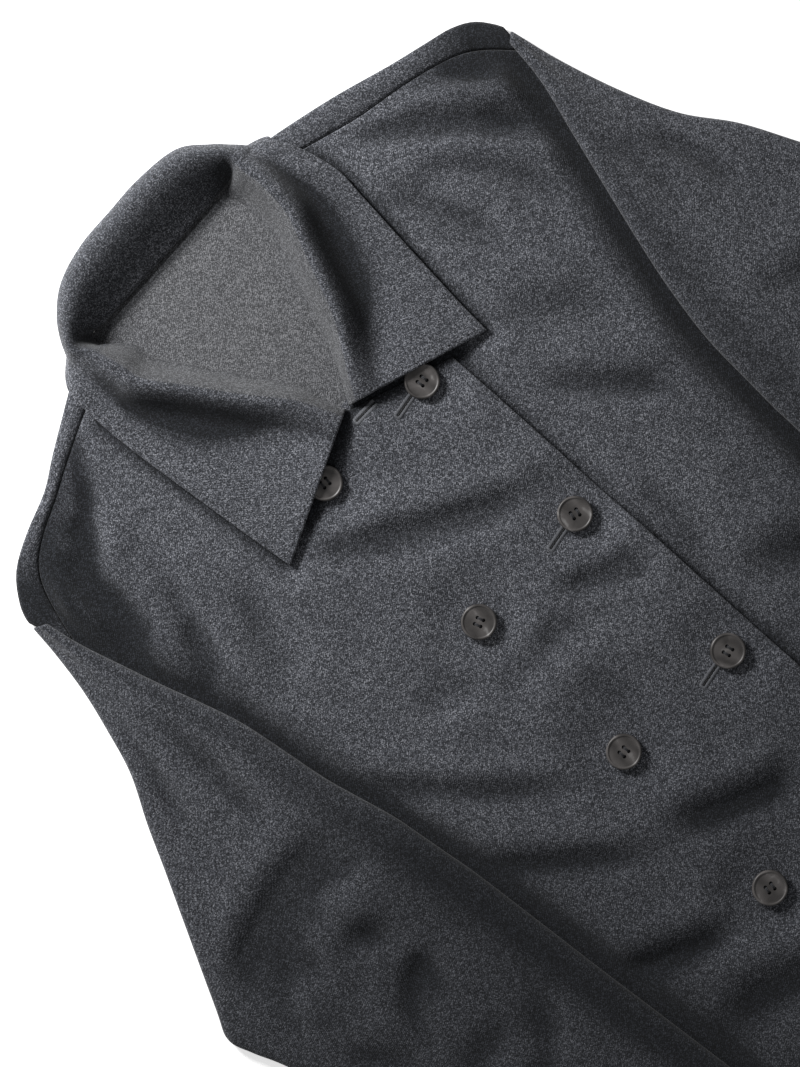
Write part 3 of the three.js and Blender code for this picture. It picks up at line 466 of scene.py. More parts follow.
def edged(grid, inset=0.8):
    """A grid of points with one more row close inside each border, so that the edge turns over tightly."""
    for _ in range(2):
        first = grid[1] - grid[0]
        last = grid[-2] - grid[-1]
        step = lambda span: inset / np.maximum(np.linalg.norm(span, axis=1, keepdims=True), 2 * inset)
        near, far = grid[0] + first * step(first), grid[-1] + last * step(last)
        grid = np.concatenate([grid[:1], near[None], grid[1:-1], far[None], grid[-1:]]).swapaxes(0, 1)
    return grid


def shell(name, grid, material, uv=None, present=None, edge=0.35, inside=None, painted_shade=None):
    """A wall of cloth, HALF to each side of a grid of points, thinner at its very edge. Where inside is true,
    its upper face shows the cloth's inner side."""
    count_i, count_j = grid.shape[:2]
    if present is None:
        present = np.ones((count_i - 1, count_j - 1), dtype=bool)
    diagonal_a = grid[1:, 1:] - grid[:-1, :-1]
    diagonal_b = grid[1:, :-1] - grid[:-1, 1:]
    normal = np.cross(diagonal_b, diagonal_a)
    normal /= np.maximum(np.linalg.norm(normal, axis=2, keepdims=True), 1e-9)
    normal[~present] = 0
    sums = np.zeros_like(grid)
    used = np.zeros((count_i, count_j), dtype=int)
    for di in (0, 1):
        for dj in (0, 1):
            sums[di:count_i - 1 + di, dj:count_j - 1 + dj] += normal
            used[di:count_i - 1 + di, dj:count_j - 1 + dj] += present
    sums /= np.maximum(np.linalg.norm(sums, axis=2, keepdims=True), 1e-9)
    offset = sums * HALF * np.where(used == 4, 1.0, edge)[:, :, None]
    number = -np.ones((count_i, count_j), dtype=int)
    number[used > 0] = np.arange(np.count_nonzero(used))
    total = np.count_nonzero(used)
    points = np.concatenate([(grid + offset)[used > 0], (grid - offset)[used > 0]])
    faces, slots = [], []
    padded = np.zeros((count_i + 1, count_j + 1), dtype=bool)
    padded[1:-1, 1:-1] = present
    for i, j in np.argwhere(present):
        a, b, c, d = (int(number[k]) for k in ((i, j), (i + 1, j), (i + 1, j + 1), (i, j + 1)))
        faces.append((a, b, c, d))
        faces.append((a + total, d + total, c + total, b + total))
        slots += [int(inside is not None and inside[i, j]), 0]
        for outside, start, end in (
            (not padded[i + 1, j], a, b), (not padded[i + 2, j + 1], b, c),
            (not padded[i + 1, j + 2], c, d), (not padded[i, j + 1], d, a),
        ):
            if outside:
                faces.append((start, start + total, end + total, end))
                slots.append(0)
    if uv is None:
        uv = grid[:, :, :2]
    flat = uv[used > 0]
    slots = None if inside is None else slots
    piece = make_mesh(name, points, faces, material, np.concatenate([flat, flat]), slots)
    # Painted shade: how much each point's cloth colour is darkened to stand in for shadow
    if painted_shade is not None:
        depth = np.clip(painted_shade, 0, 1)[used > 0]
        layer = piece.data.attributes.new("painted_shade", "FLOAT", "POINT")
        layer.data.foreach_set("value", np.concatenate([depth, depth]))
    return piece


def arc_lengths(grid, axis):
    span = np.linalg.norm(np.diff(grid, axis=axis), axis=2)
    zero = np.zeros_like(np.take(span, [0], axis=axis))
    return np.concatenate([zero, np.cumsum(span, axis=axis)], axis=axis)


# Cloth pieces


def polyline(points, at):
    """Places along a chain of points, at from 0 to 1."""
    place = np.asarray(at) * (len(points) - 1)
    k = np.minimum(place.astype(int), len(points) - 2)
    return mix(points[k], points[k + 1], (place - k)[..., None])


def chain(parts, steps):
    """Joins curves into one, with straight stretches of the given number of steps between them."""
    joined = [parts[0]]
    for part in parts[1:]:
        t = (np.arange(1, steps) / steps)[:, None]
        joined += [mix(joined[-1][-1], part[0], t), part]
    return np.concatenate(joined)


def side_points(rows, top_y, step=22):
    ys = [rows["y"][0]]
    for y in [v for v in rows["y"][1:] if v < top_y - 4] + [top_y]:
        count = max(1, round((y - ys[-1]) / step))
        ys += list(np.linspace(ys[-1], y, count + 1)[1:])
    ys = np.array(ys)
    return np.stack([np.interp(ys, rows["y"], rows["x"]), ys], axis=1)


def panel(start, end, levels, fine_levels, upper, top):
    """Places column by column: level rows up the sides, then a patch that ends in the top edge."""
    u = np.linspace(0, 1, len(top))[:, None]
    k = np.linspace(0, levels, fine_levels + 1)[:-1]
    start_low, end_low = polyline(start, k / (len(start) - 1)), polyline(end, k / (len(end) - 1))
    low = mix(start_low[None], end_low[None], u[:, :, None])
    v = np.linspace(0, 1, upper + 1)
    start_high = polyline(np.concatenate([start[levels:], top[:1]]), v)
    end_high = polyline(np.concatenate([end[levels:], top[-1:]]), v)
    bottom = mix(start[levels][None], end[levels][None], u)
    uu, vv = u[:, :, None], v[None, :, None]
    high = (
        (1 - vv) * bottom[:, None] + vv * top[:, None] + (1 - uu) * start_high[None] + uu * end_high[None]
        - (1 - uu) * (1 - vv) * bottom[0] - uu * (1 - vv) * bottom[-1]
        - (1 - uu) * vv * top[0] - uu * vv * top[-1]
    )
    return np.concatenate([low, high], axis=1)


def neck_edge(at):
    s = row_at(COLLAR, at)
    width = np.hypot(s["outX"] - s["x"], s["outY"] - s["y"])
    return np.stack([
        s["x"] + NECK_EASE * (s["outX"] - s["x"]) / width, s["y"] + NECK_EASE * (s["outY"] - s["y"]) / width,
    ], axis=1)


LAST_SHOULDER_ROW = 8


def shoulder_stations(steps):
    return np.linspace(0, LAST_SHOULDER_ROW, LAST_SHOULDER_ROW * steps + 1)


def shoulder_edge(rows, steps):
    s = row_at(rows, shoulder_stations(steps))
    return np.stack([s["seamX"], s["seamY"] - SHOULDER_GAP / 2], axis=1)


def overlap_edge(side, steps):
    t = np.linspace(0, 1, 4 * steps + 1)
    return np.stack([mix(0.5, side * FRONT_EDGE_X, t), mix(NECK_POINT_Y, CORNER_Y, t)], axis=1)


# Places and strengths of the painted shade that is stored on the cloth
SHOULDER_TIPS = ((-203, 58), (212, 88))
SHOULDER_FOLD_TIPS = ((-207, 80), (213, 104))
LEAF_ROWS = (slice(20, 28), slice(0, 7))
CREASE_SHADE = 0.26
SLEEVE_CREASE_SHADE = 0.17
SLEEVE_SHADE = 0.22
DEEPEST_SHADE = 2.4


def front_painted_shade(x, y):
    """How deep in painted shade each place of the fronts lies, for the cloth's darker tone: shadow beside the
    sleeves, in creases and by the leaves' edges, and the key light's falloff.
    """
    right, left = from_sleeves(x, y)
    # Painted shadow along the sleeves' inner folds
    by_the_sleeves = 1.15 * (bell(right, 11) + bell(left, 12)) + 0.28 * (bell(right, 36) + bell(left, 36))
    creases = crease_height(FRONT_CREASES, x, y) + crease_height(FRONT_FINE_CREASES, x, y)
    in_creases = CREASE_SHADE * np.clip(-creases, 0, DEEPEST_SHADE) * clear_of_buttons(x, y)
    depth = by_the_sleeves + in_creases
    for rows in LEAF_ROWS:
        leaf = {name: COLLAR[name][rows] for name in ("outX", "outY")}
        beside = bell(x - against(leaf, "outY", "outX", y), 5)
        depth += 0.95 * beside * (y > leaf["outY"].min()) * (y < leaf["outY"].max())
    # Painted shadow under the leaves' front edges
    depth += 1.1 * bell(leaf_front_y(x) - y - 1, 8) * ramp(82, 60, np.abs(x))
    seam_right, seam_left = shoulder_seams(x)
    below_seam = 0.8 * bell(y - seam_right, 24) * ramp(-90, -140, x)
    depth += below_seam + 0.6 * bell(y - seam_left, 15) * ramp(130, 185, x)
    for tip_x, tip_y in SHOULDER_TIPS:
        depth += 0.55 * bell(np.hypot(x - tip_x, y - tip_y), 42)
    # Painted falloff of the key light: darker towards the hem and on the left front's outer side, a little
    # lighter in the upper middle
    upper_middle = ramp(-20, -60, y) * ramp(-200, -150, y)
    left_side = ramp(85, 130, x) * ramp(10, -80, y)
    return depth + 0.16 * left_side - 0.1 * upper_middle + 0.4 * ramp(-120, -330, y)


COLUMN_STEPS = 5
LEVEL_STEPS = 7
UPPER_ROWS = 52
FRONT_LEVEL_Y = -28
# The collar sections between which each front joins the neck
NECK_SECTIONS = {"right": (20, 26), "left": (6.2, 1)}


def seam_dip(distance):
    return -0.75 * bell(distance, 1.6)


def front(side, material):
    rows = RIGHT_SIDE if side == "right" else LEFT_SIDE
    shoulder = shoulder_edge(RIGHT_SHOULDER if side == "right" else LEFT_SHOULDER, COLUMN_STEPS)
    neck = neck_edge(np.linspace(*NECK_SECTIONS[side], 5 * COLUMN_STEPS + 1))
    if side == "right":
        top = chain([shoulder[::-1], neck, overlap_edge(1, COLUMN_STEPS)], COLUMN_STEPS)
    else:
        top = chain([overlap_edge(-1, COLUMN_STEPS)[::-1], neck[::-1], shoulder], COLUMN_STEPS)
    corner = top[0] if side == "right" else top[-1]
    outer = side_points(rows, corner[1])
    levels = int(np.max(np.nonzero(outer[:, 1] < FRONT_LEVEL_Y)))
    outer = outer[:-1]
    edge_x = FRONT_EDGE_X if side == "right" else -FRONT_EDGE_X
    inner = np.stack([np.full(levels + 1, float(edge_x)), outer[:levels + 1, 1]], axis=1)
    ends = (outer, inner) if side == "right" else (inner, outer)
    plan = edged(panel(*ends, levels, levels * LEVEL_STEPS, UPPER_ROWS, top))
    x, y = plan[:, :, 0], plan[:, :, 1]
    z = front_right_z(x, y) if side == "right" else front_left_z(x, y)
    seam = near_shoulder_seam(x, y)
    z = z + np.where(seam > 0.9, 0.25 * seam_dip((1 - seam) * 20), 0)
    painted_shade = front_painted_shade(x, y)
    # Painted shadow cast by the right front's edge onto the left front
    if side == "left":
        painted_shade = painted_shade + 0.6 * bell(x - FRONT_EDGE_X, 6)
    return shell(f"front_{side}_cloth", np.stack([x, y, z], axis=2), material, painted_shade=painted_shade)


FOLD_ROUND = 2.4
BACK_LEVELS = 9
BACK_FINE_LEVELS = 84
BACK_UPPER_ROWS = 30


def shoulder_strip(rows, at, fold_steps=10, strip_steps=10):
    s = row_at(rows, at)
    width = np.hypot(s["foldX"] - s["seamX"], s["foldY"] - s["seamY"])
    out_x, out_y = (s["foldX"] - s["seamX"]) / width, (s["foldY"] - s["seamY"]) / width
    middle = (BACK_Z + SHOULDER_FOLD_Z) / 2
    insets, heights = [], []
    for turn in np.linspace(0, math.pi, fold_steps + 1):
        insets.append(np.full_like(width, FOLD_ROUND * (1 - math.sin(turn))))
        heights.append(np.full_like(width, middle - (middle - BACK_Z) * math.cos(turn)))
    reach = width - HALF - SHOULDER_GAP / 2
    for t in np.linspace(0, 1, strip_steps + 1)[1:]:
        insets.append(mix(FOLD_ROUND, reach, t))
        height = mix(SHOULDER_FOLD_Z, SHOULDER_SEAM_Z, t) + 0.8 * math.sin(math.pi * t)
        heights.append(np.full_like(width, height))
    inset = np.stack(insets, axis=1) + HALF
    return np.stack([
        s["foldX"][:, None] - out_x[:, None] * inset, s["foldY"][:, None] - out_y[:, None] * inset,
        np.stack(heights, axis=1),
    ], axis=2)


def back(material):
    steps = 4
    right = shoulder_strip(RIGHT_SHOULDER, shoulder_stations(steps)[::-1])
    left = shoulder_strip(LEFT_SHOULDER, shoulder_stations(steps))
    neck_x = np.linspace(*BACK_NECK_ENDS, 4 * steps + 1)
    neck = np.stack([neck_x, np.full_like(neck_x, BACK_NECK_Y)], axis=1)
    top = chain([right[:, 0, :2], neck, left[:, 0, :2]], steps)
    ends = [np.stack([side["x"][:-1], side["y"][:-1]], axis=1) for side in (RIGHT_SIDE, LEFT_SIDE)]
    plan = panel(*ends, BACK_LEVELS, BACK_FINE_LEVELS, BACK_UPPER_ROWS, top)
    body_rows = plan.shape[1]
    strips = np.zeros((len(top), right.shape[1] - 1, 3))
    strips[:len(right)] = right[:, 1:]
    strips[len(top) - len(left):] = left[:, 1:]
    x, y = plan[:, :, 0], plan[:, :, 1]
    lift = 0.18 * rumple(x, y, 31) * ramp(60, 90, y) * ramp(154, 140, y)
    body = np.concatenate([plan, (BACK_Z + np.maximum(lift, 0))[:, :, None]], axis=2)
    grid = np.concatenate([body, strips], axis=1)
    present = np.ones((grid.shape[0] - 1, grid.shape[1] - 1), dtype=bool)
    present[len(right) - 1:len(top) - len(left), body_rows - 1:] = False
    lengths = arc_lengths(grid, 1)
    strip_lengths = lengths[:, body_rows:, None] - lengths[:, body_rows - 1, None, None]
    uv = np.concatenate([plan, plan[:, -1:] + [0.0, 1.0] * strip_lengths], axis=1)
    inside = np.zeros_like(present)
    inside[:, :body_rows - 1] = plan[:-1, :-1, 1] > 20
    # Painted shade at the shoulder folds' tips and a painted shadow line just below the collar's seam
    painted_shade = np.zeros(grid.shape[:2])
    for tip_x, tip_y in SHOULDER_FOLD_TIPS:
        painted_shade += 1.1 * bell(np.hypot(grid[:, :, 0] - tip_x, grid[:, :, 1] - tip_y), 33)
    at_neck = (grid[:, :, 0] > BACK_NECK_ENDS[0]) & (grid[:, :, 0] < BACK_NECK_ENDS[1])
    below_neck = (BACK_NECK_Y - grid[:, :, 1]) * at_neck
    painted_shade += 0.9 * bell(below_neck - 4.5, 3)
    return shell("back_cloth", grid, material, uv, present, inside=inside, painted_shade=painted_shade)


def layer_below_sleeve(side, y):
    on_shoulder = ramp(8, 44, y) if side == "right" else ramp(30, 70, y)
    return mix(OVERLAP_Z, SHOULDER_FOLD_Z + CLOTH + SEAM_GAP + 0.5, on_shoulder)


UNDERARM_Y = {"right": -118, "left": -101}


def sleeve(side, material, sections=176):
    """A flattened tube, from below round the outer fold, over the top and round the inner fold."""
    rows = RIGHT_SLEEVE if side == "right" else LEFT_SLEEVE
    underarm_y, outward = UNDERARM_Y[side], -1 if side == "right" else 1
    last = len(rows["outX"]) - 1
    at = np.linspace(0, last, sections + 1)
    s = row_at(rows, at)
    width = np.hypot(s["inX"] - s["outX"], s["inY"] - s["outY"])

    def place(inset):
        return mix(s["outX"], s["inX"], inset / width), mix(s["outY"], s["inY"], inset / width)

    def armhole_inset(ease):
        low, high = np.zeros_like(width), width.copy()
        for _ in range(30):
            half = (low + high) / 2
            x, y = place(half)
            outside = outward * (x - side_x(side, y)) > ease
            low, high = np.where(outside, half, low), np.where(outside, high, half)
        return low

    below = underarm_y - place(armhole_inset(0))[1]
    lift = ramp(-28, -4, below)
    back_inset = mix(armhole_inset(mix(0.9, 3, ramp(-46, -16, below))), width * 0.52, ramp(2, 150, below))
    front_inset = mix(armhole_inset(-0.6), back_inset + SEAM_GAP, ramp(0, 16, below))
    inner = width - s["inRound"]
    edge_of_body = np.maximum(np.minimum(armhole_inset(2.5), back_inset - 1), s["outRound"] + 1)
    room = edge_of_body - s["outRound"]
    edge_z = mix(BACK_Z, OVERLAP_Z, lift)
    out_low = mix(BACK_Z, OVERLAP_Z, lift * ramp(12, 2, room))
    points = []

    # depth is painted shade on the sleeve: a base darkening, more towards the cuff, in creases and along the
    # inner fold
    def add(inset, z, depth=SLEEVE_SHADE):
        x, y = place(inset)
        depth = depth + (0.4 * ramp(-80, -190, y) if side == "right" else 0.12 * ramp(-60, -190, y) - 0.1)
        points.append(np.stack([x, y, z + np.zeros_like(x), depth + np.zeros_like(x)], axis=1))

    for t in np.linspace(0, 1, 7)[:-1]:
        add(mix(back_inset, edge_of_body, t), edge_z)
    add(edge_of_body, edge_z)
    add(np.where(room > 22, edge_of_body - 11, s["outRound"] + room / 2),
        np.where(room > 12, out_low, mix(out_low, edge_z, 0.5)))
    for turn in np.linspace(0, math.pi, 11):
        add(s["outRound"] * (1 - math.sin(turn)),
            (out_low + s["outZ"]) / 2 - ((s["outZ"] - out_low) / 2) * math.cos(turn))
    ends = ramp(0, 1.4, at) * ramp(0, 0.8, last - at)
    for t in np.linspace(0, 1, 45)[1:-1]:
        inset = mix(s["outRound"], inner, t)
        x, y = place(inset)
        fade = ramp(0, 0.2, t) * ramp(1, 0.82, t)
        crease = crease_height(SLEEVE_CREASES, x, y) + crease_height(SLEEVE_FINE_CREASES, x, y)
        crease = np.clip(crease + 0.8 * rumple(x, y, 51), -3, 3.6) * fade * ends
        depth = SLEEVE_SHADE + SLEEVE_CREASE_SHADE * np.clip(-crease, 0, DEEPEST_SHADE)
        # Painted shadow along the inner fold
        depth = depth + 0.4 * bell(t - 0.95, 0.1)
        add(inset, mix(s["outZ"], s["inZ"], ramp(-0.1, 0.9, t)) + crease, depth)
    in_low = layer_below_sleeve(side, place(inner)[1])
    # The inner fold's turn carries painted shade
    for turn in np.linspace(0, math.pi, 11):
        add(inner + s["inRound"] * math.sin(turn),
            (in_low + s["inZ"]) / 2 + ((s["inZ"] - in_low) / 2) * math.cos(turn), 0.55)
    for t in np.linspace(0, 1, 15)[1:]:
        inset = mix(inner, front_inset, t)
        add(inset, layer_below_sleeve(side, place(inset)[1]))
    grid = np.stack(points, axis=1)
    if outward < 0:
        grid = grid[:, ::-1]
    grid = edged(grid)
    grid, painted_shade = grid[:, :, :3], grid[:, :, 3]
    uv = np.stack([arc_lengths(grid, 1), arc_lengths(grid, 0)], axis=2)
    return shell(f"sleeve_{side}_cloth", grid, material, uv, painted_shade=painted_shade)


INNER_SLOPE = 13
NECK_LAP = 2.2
LAST_SECTION = len(COLLAR["x"]) - 1
SECTION_STEPS = 9


def collar_points(at, steps):
    """Points of the collar's sections: seam, roll, foot, leaf and edge are steps 0 to 4."""
    s = row_at(COLLAR, at)
    width = np.hypot(s["outX"] - s["x"], s["outY"] - s["y"])
    out_x, out_y = (s["outX"] - s["x"]) / width, (s["outY"] - s["y"]) / width
    tuck = np.clip(s["under"] / 12, 0, 1)
    edge = width - s["under"]
    middle = mix(mix(s["foot"], edge, 0.5), width - 2.2, tuck)
    middle_z = mix((s["footZ"] + s["edgeZ"]) / 2 + 0.7, s["edgeZ"], tuck)
    beside_neck = ramp(1.5, 4, at) * ramp(9, 7.2, at) + ramp(18.2, 20, at) * ramp(26, 23.5, at)
    behind_neck = 1 - beside_neck
    behind = ramp(8.6, 10.5, at) * ramp(18.4, 16.5, at)
    lean = mix(s["lean"], np.maximum(s["lean"], 0.74 * width), behind)
    seam = -INNER_SLOPE * beside_neck - NECK_LAP * behind_neck * ramp(0, 1.5, at) * ramp(27, 25.5, at)
    out = np.stack([seam, lean, mix(s["foot"], width - 0.9, tuck), middle, edge])
    seam_z = mix(s["seamZ"], HALF + 0.5, beside_neck)
    seam_z = np.where((at > 8.5) & (at < 18.5), CLOTH + HALF + 0.1, seam_z)
    up = np.stack([seam_z, s["rollZ"], s["footZ"], middle_z, s["edgeZ"]])
    spans = np.hypot(np.diff(out, axis=0), np.diff(up, axis=0))
    stations = np.concatenate([np.zeros((1, len(width))), np.cumsum(spans, axis=0)])
    grid = np.zeros((len(width), len(steps), 3))
    whole = np.minimum(np.floor(steps).astype(int), 3)
    for i in range(len(width)):
        station = mix(stations[whole, i], stations[whole + 1, i], steps - whole)
        distance = smooth(stations[:, i], out[:, i], station)
        height = smooth(stations[:, i], up[:, i], station)
        rise = seam_z[i] + (s["rollZ"][i] - seam_z[i]) * ramp(0, 1, steps)
        height = np.where(steps < 1, mix(height, rise, beside_neck[i]), height)
        height = np.maximum(BACK_Z, height)
        grid[i, :, 0] = s["x"][i] + out_x[i] * distance
        grid[i, :, 1] = s["y"][i] + out_y[i] * distance
        grid[i, :, 2] = height
    return grid


def collar(material):
    steps = np.concatenate([
        np.linspace(0, 1, 15), np.linspace(1, 2, 17)[1:], np.linspace(2, 3, 15)[1:], np.linspace(3, 4, 13)[1:],
    ])
    at = np.linspace(0, LAST_SECTION, LAST_SECTION * SECTION_STEPS + 1)
    grid = edged(collar_points(at, steps)[:, ::-1])
    uv = np.stack([arc_lengths(grid, 0), arc_lengths(grid, 1)], axis=2)
    at = np.concatenate([[0], at, [LAST_SECTION]])
    across = np.concatenate([[4], steps[::-1], [0]])
    # Painted shade on the collar: shadow in the valley outside each leaf's roll, on the leaves' inner slopes,
    # on the stand behind the neck and in its corners
    leaf = ramp(9.5, 7, at) + ramp(17.5, 20, at)
    wedge = bell(at - 4, 2.1) + bell(at - 22.4, 2.3)
    width = (0.2 + 0.56 * wedge)[:, None]
    painted_shade = (0.3 * leaf + 1.35 * wedge)[:, None] * bell(across[None] - 1.5 - 0.75 * width, width)
    painted_shade += 0.34 * (leaf * ramp(0.2, 0.6, leaf))[:, None] * ramp(1.15, 0.55, across)[None]
    corner = bell(at - 9.4, 1.3) + bell(at - 17.6, 1.3)
    painted_shade += 0.42 * (1 - leaf)[:, None] * ramp(1.9, 1.15, across)[None]
    painted_shade += 0.55 * corner[:, None] * ramp(1, 0.5, across)[None]
    stand = across[1:] < 0.85
    inside = ((at < 8.3) | (at > 18.8))[:-1, None] & stand[None]
    return shell("collar_cloth", grid, material, uv, inside=inside, painted_shade=painted_shade)


# Materials


class Nodes:
    """The nodes of a new material, with short calls to add and join them."""

    def __init__(self, name):
        self.material = bpy.data.materials.new(name)
        self.material.use_nodes = True
        self.shader = self.material.node_tree.nodes["Principled BSDF"]
        self.where = self.add("TexCoord").outputs["Object"]

    def add(self, kind, **values):
        node = self.material.node_tree.nodes.new(f"ShaderNode{kind}")
        self.set(node, values)
        return node

    def set(self, node, values):
        for name, value in values.items():
            node.inputs[name].default_value = value

    def join(self, source, target):
        self.material.node_tree.links.new(source, target)

    def texture(self, kind, where=None, output="Fac", **values):
        node = self.add(f"Tex{kind}", **values)
        self.join(where or self.where, node.inputs["Vector"])
        return node.outputs[output]

    def tones(self, source, stops):
        """Colours at the stops' positions of a source from 0 to 1."""
        node = self.add("ValToRGB")
        points = node.color_ramp.elements
        while len(points) < len(stops):
            points.new(0.5)
        for point, (position, colour) in zip(points, stops):
            point.position, point.color = position, (*colour, 1)
        self.join(source, node.inputs[0])
        return node.outputs[0]

    def blend(self, a, b, factor):
        node = self.add("Mix")
        node.inputs[0].default_value = factor
        self.join(a, node.inputs[2])
        self.join(b, node.inputs[3])
        return node.outputs[0]

    def product(self, a, b):
        node = self.add("Mix")
        node.data_type, node.blend_type = "RGBA", "MULTIPLY"
        node.inputs[0].default_value = 1.0
        self.join(a, node.inputs[6])
        self.join(b, node.inputs[7])
        return node.outputs[2]

    def finish(self, colour, height, strength, distance, values):
        """Gives the surface its colour, the relief of a height and its values."""
        self.join(colour, self.shader.inputs["Base Color"])
        if height:
            bump = self.add("Bump", Strength=strength, Distance=distance)
            self.join(height, bump.inputs["Height"])
            self.join(bump.outputs[0], self.shader.inputs["Normal"])
        self.set(self.shader, values)
        return self.material


WHITE = (1.0, 1.0, 1.0)
# Colour that full painted shade multiplies the cloth by
DEEP_SHADE = (0.13, 0.14, 0.155)
TWILL_ANGLE = math.radians(58)


def melange(name, dark, middle, light, twill_depth):
    """Wool spun from dark and light fibres: specks, slightly uneven dyeing, twill lines and a soft nap,
    darkened by painted shade stored on the mesh.
    """
    nodes = Nodes(name)
    split = nodes.add("SeparateColor")
    nodes.join(nodes.texture("Voronoi", output="Color", Scale=1900.0), split.inputs[0])
    fibre = nodes.texture("Noise", Scale=1300.0, Detail=2.0, Roughness=0.6)
    brighter = tuple(2 * c for c in middle)
    specks = nodes.blend(split.outputs[0], fibre, 0.4)
    colour = nodes.tones(specks, [(0.24, dark), (0.48, middle), (0.64, brighter), (0.88, light)])
    patches = nodes.texture("Noise", Scale=16.0, Detail=3.0, Roughness=0.6)
    colour = nodes.product(colour, nodes.tones(patches, [(0.3, (0.86, 0.86, 0.87)), (0.7, WHITE)]))
    cloth = nodes.add("UVMap")
    cloth.uv_map = "cloth"
    turned = nodes.add("Mapping", Rotation=(0, 0, TWILL_ANGLE))
    nodes.join(cloth.outputs[0], turned.inputs[0])
    twill = nodes.texture(
        "Wave", turned.outputs[0], Scale=290.0, Distortion=1.6, Detail=1.0, **{"Detail Scale": 1.5})
    colour = nodes.product(colour, nodes.tones(twill, [(0.2, (1 - twill_depth,) * 3), (0.75, WHITE)]))
    # Painted shade stored on the mesh, for shadow in crevices between layers, in troughs of folds and where
    # the light falls off
    painted_shade = nodes.add("Attribute")
    painted_shade.attribute_name = "painted_shade"
    colour = nodes.product(colour, nodes.tones(painted_shade.outputs["Fac"], [(0.0, WHITE), (1.0, DEEP_SHADE)]))
    relief = nodes.blend(nodes.texture("Noise", Scale=1500.0, Detail=2.0), twill, 0.45)
    return nodes.finish(colour, relief, 0.55, 0.00022, {
        "Roughness": 0.96, "Specular IOR Level": 0.15, "Sheen Weight": 0.12, "Sheen Roughness": 0.6,
    })


def horn_marbling():
    nodes = Nodes("horn")
    bend = nodes.texture("Noise", Scale=95.0, Detail=4.0, Distortion=1.4)
    streaks = nodes.texture("Wave", Scale=34.0, Distortion=9.0, Detail=3.0)
    colour = nodes.tones(nodes.blend(streaks, bend, 0.55), [
        (0.2, (0.034, 0.031, 0.03)), (0.5, (0.062, 0.057, 0.055)), (0.72, (0.086, 0.079, 0.077)),
        (0.88, (0.24, 0.235, 0.23)),
    ])
    nodes.join(nodes.tones(bend, [(0.3, (0.4,) * 3), (0.8, (0.56,) * 3)]), nodes.shader.inputs["Roughness"])
    return nodes.finish(colour, nodes.texture("Noise", Scale=900.0, Detail=2.0), 0.12, 0.0001, {})


def yarn(name, dark, light):
    nodes = Nodes(name)
    ply = nodes.texture("Noise", Scale=2200.0, Detail=2.0)
    return nodes.finish(nodes.tones(ply, [(0.3, dark), (0.7, light)]), ply, 0.6, 0.0001, {"Roughness": 0.8})


def bright_floor():
    nodes = Nodes("paper")
    grain = nodes.texture("Noise", Scale=40.0, Detail=3.0)
    return nodes.finish(nodes.tones(grain, [(0.3, (0.9,) * 3), (0.7, (0.93,) * 3)]), None, 0, 0, {
        "Roughness": 0.9, "Emission Color": (1, 1, 1, 1), "Emission Strength": 0.5,
    })


wool = melange("wool_outside", (0.018, 0.0195, 0.0235), (0.056, 0.059, 0.068), (0.38, 0.388, 0.42), 0.25)
wool_inside = melange("wool_inside", (0.05, 0.051, 0.054), (0.085, 0.0865, 0.092), (0.3, 0.3, 0.31), 0.2)
horn = horn_marbling()
thread = yarn("thread", (0.012, 0.012, 0.014), (0.045, 0.046, 0.051))
hole_thread = yarn("buttonhole_thread", (0.045, 0.047, 0.053), (0.15, 0.155, 0.17))
# Near-black yarn for the bars of painted shadow in the buttonholes' slits
slit_shade = yarn("slit_shade", (0.0015, 0.0015, 0.002), (0.005, 0.005, 0.006))


# Buttons


BUTTON_SIDES = 64
DRILL_SIDES = 20


def circle(count):
    """The cosines and sines of evenly spaced turns."""
    turns = [2 * math.pi * k / count for k in range(count)]
    return [(math.cos(turn), math.sin(turn)) for turn in turns]


def button_mesh():
    """A round button with a raised rim and four holes, standing on z = 0, in millimetres."""
    r, h = BUTTON_RADIUS, BUTTON_HEIGHT
    profile = [
        (0, 0.1), (r - 3, 0.1), (r - 1.3, 0.2), (r - 0.55, 0.55), (r - 0.12, 1.05), (r, 1.5),
        (r - 0.12, 1.95), (r - 0.3, 2.45), (r - 0.6, 2.7), (r - 0.9, h), (r - 1.2, 2.76), (r - 1.45, 2.6),
        (r - 1.65, 2.42), (r - 1.85, 2.37), (r - 2.2, 2.36), (r - 2.8, 2.36), (0, 2.36),
    ]
    sides, rings = BUTTON_SIDES, len(profile) - 2
    mesh = bpy.data.meshes.new("button")
    points, faces = [(0, 0, profile[0][1]), (0, 0, profile[-1][1])], []
    for radius, height in profile[1:-1]:
        points += [(radius * c, radius * s, height) for c, s in circle(sides)]
    for k in range(sides):
        n = (k + 1) % sides
        faces.append((0, 2 + n, 2 + k))
        faces.append((1, 2 + (rings - 1) * sides + k, 2 + (rings - 1) * sides + n))
        for ring in range(rings - 1):
            low, up = 2 + ring * sides, 2 + (ring + 1) * sides
            faces.append((low + k, low + n, up + n, up + k))
    mesh.from_pydata(points, [], faces)
    whole = new_object("button", mesh)
    drills = []
    count = DRILL_SIDES
    walls = [(k, (k + 1) % count, count + (k + 1) % count, count + k) for k in range(count)]
    ends = [tuple(range(count - 1, -1, -1)), tuple(range(count, 2 * count))]
    for sx, sy in ((1, 1), (1, -1), (-1, 1), (-1, -1)):
        places = [
            (sx * HOLE_OFFSET + HOLE_RADIUS * c, sy * HOLE_OFFSET + HOLE_RADIUS * s) for c, s in circle(count)
        ]
        cutter = bpy.data.meshes.new("drill")
        cutter.from_pydata([(x, y, -1) for x, y in places] + [(x, y, 5) for x, y in places], [], walls + ends)
        drill = new_object("drill", cutter)
        cut = whole.modifiers.new("hole", "BOOLEAN")
        cut.operation, cut.object, cut.solver = "DIFFERENCE", drill, "EXACT"
        drills.append(drill)
    solid = bpy.data.meshes.new_from_object(whole.evaluated_get(bpy.context.evaluated_depsgraph_get()))
    for thing in [whole, *drills]:
        bpy.data.objects.remove(thing)
    return solid


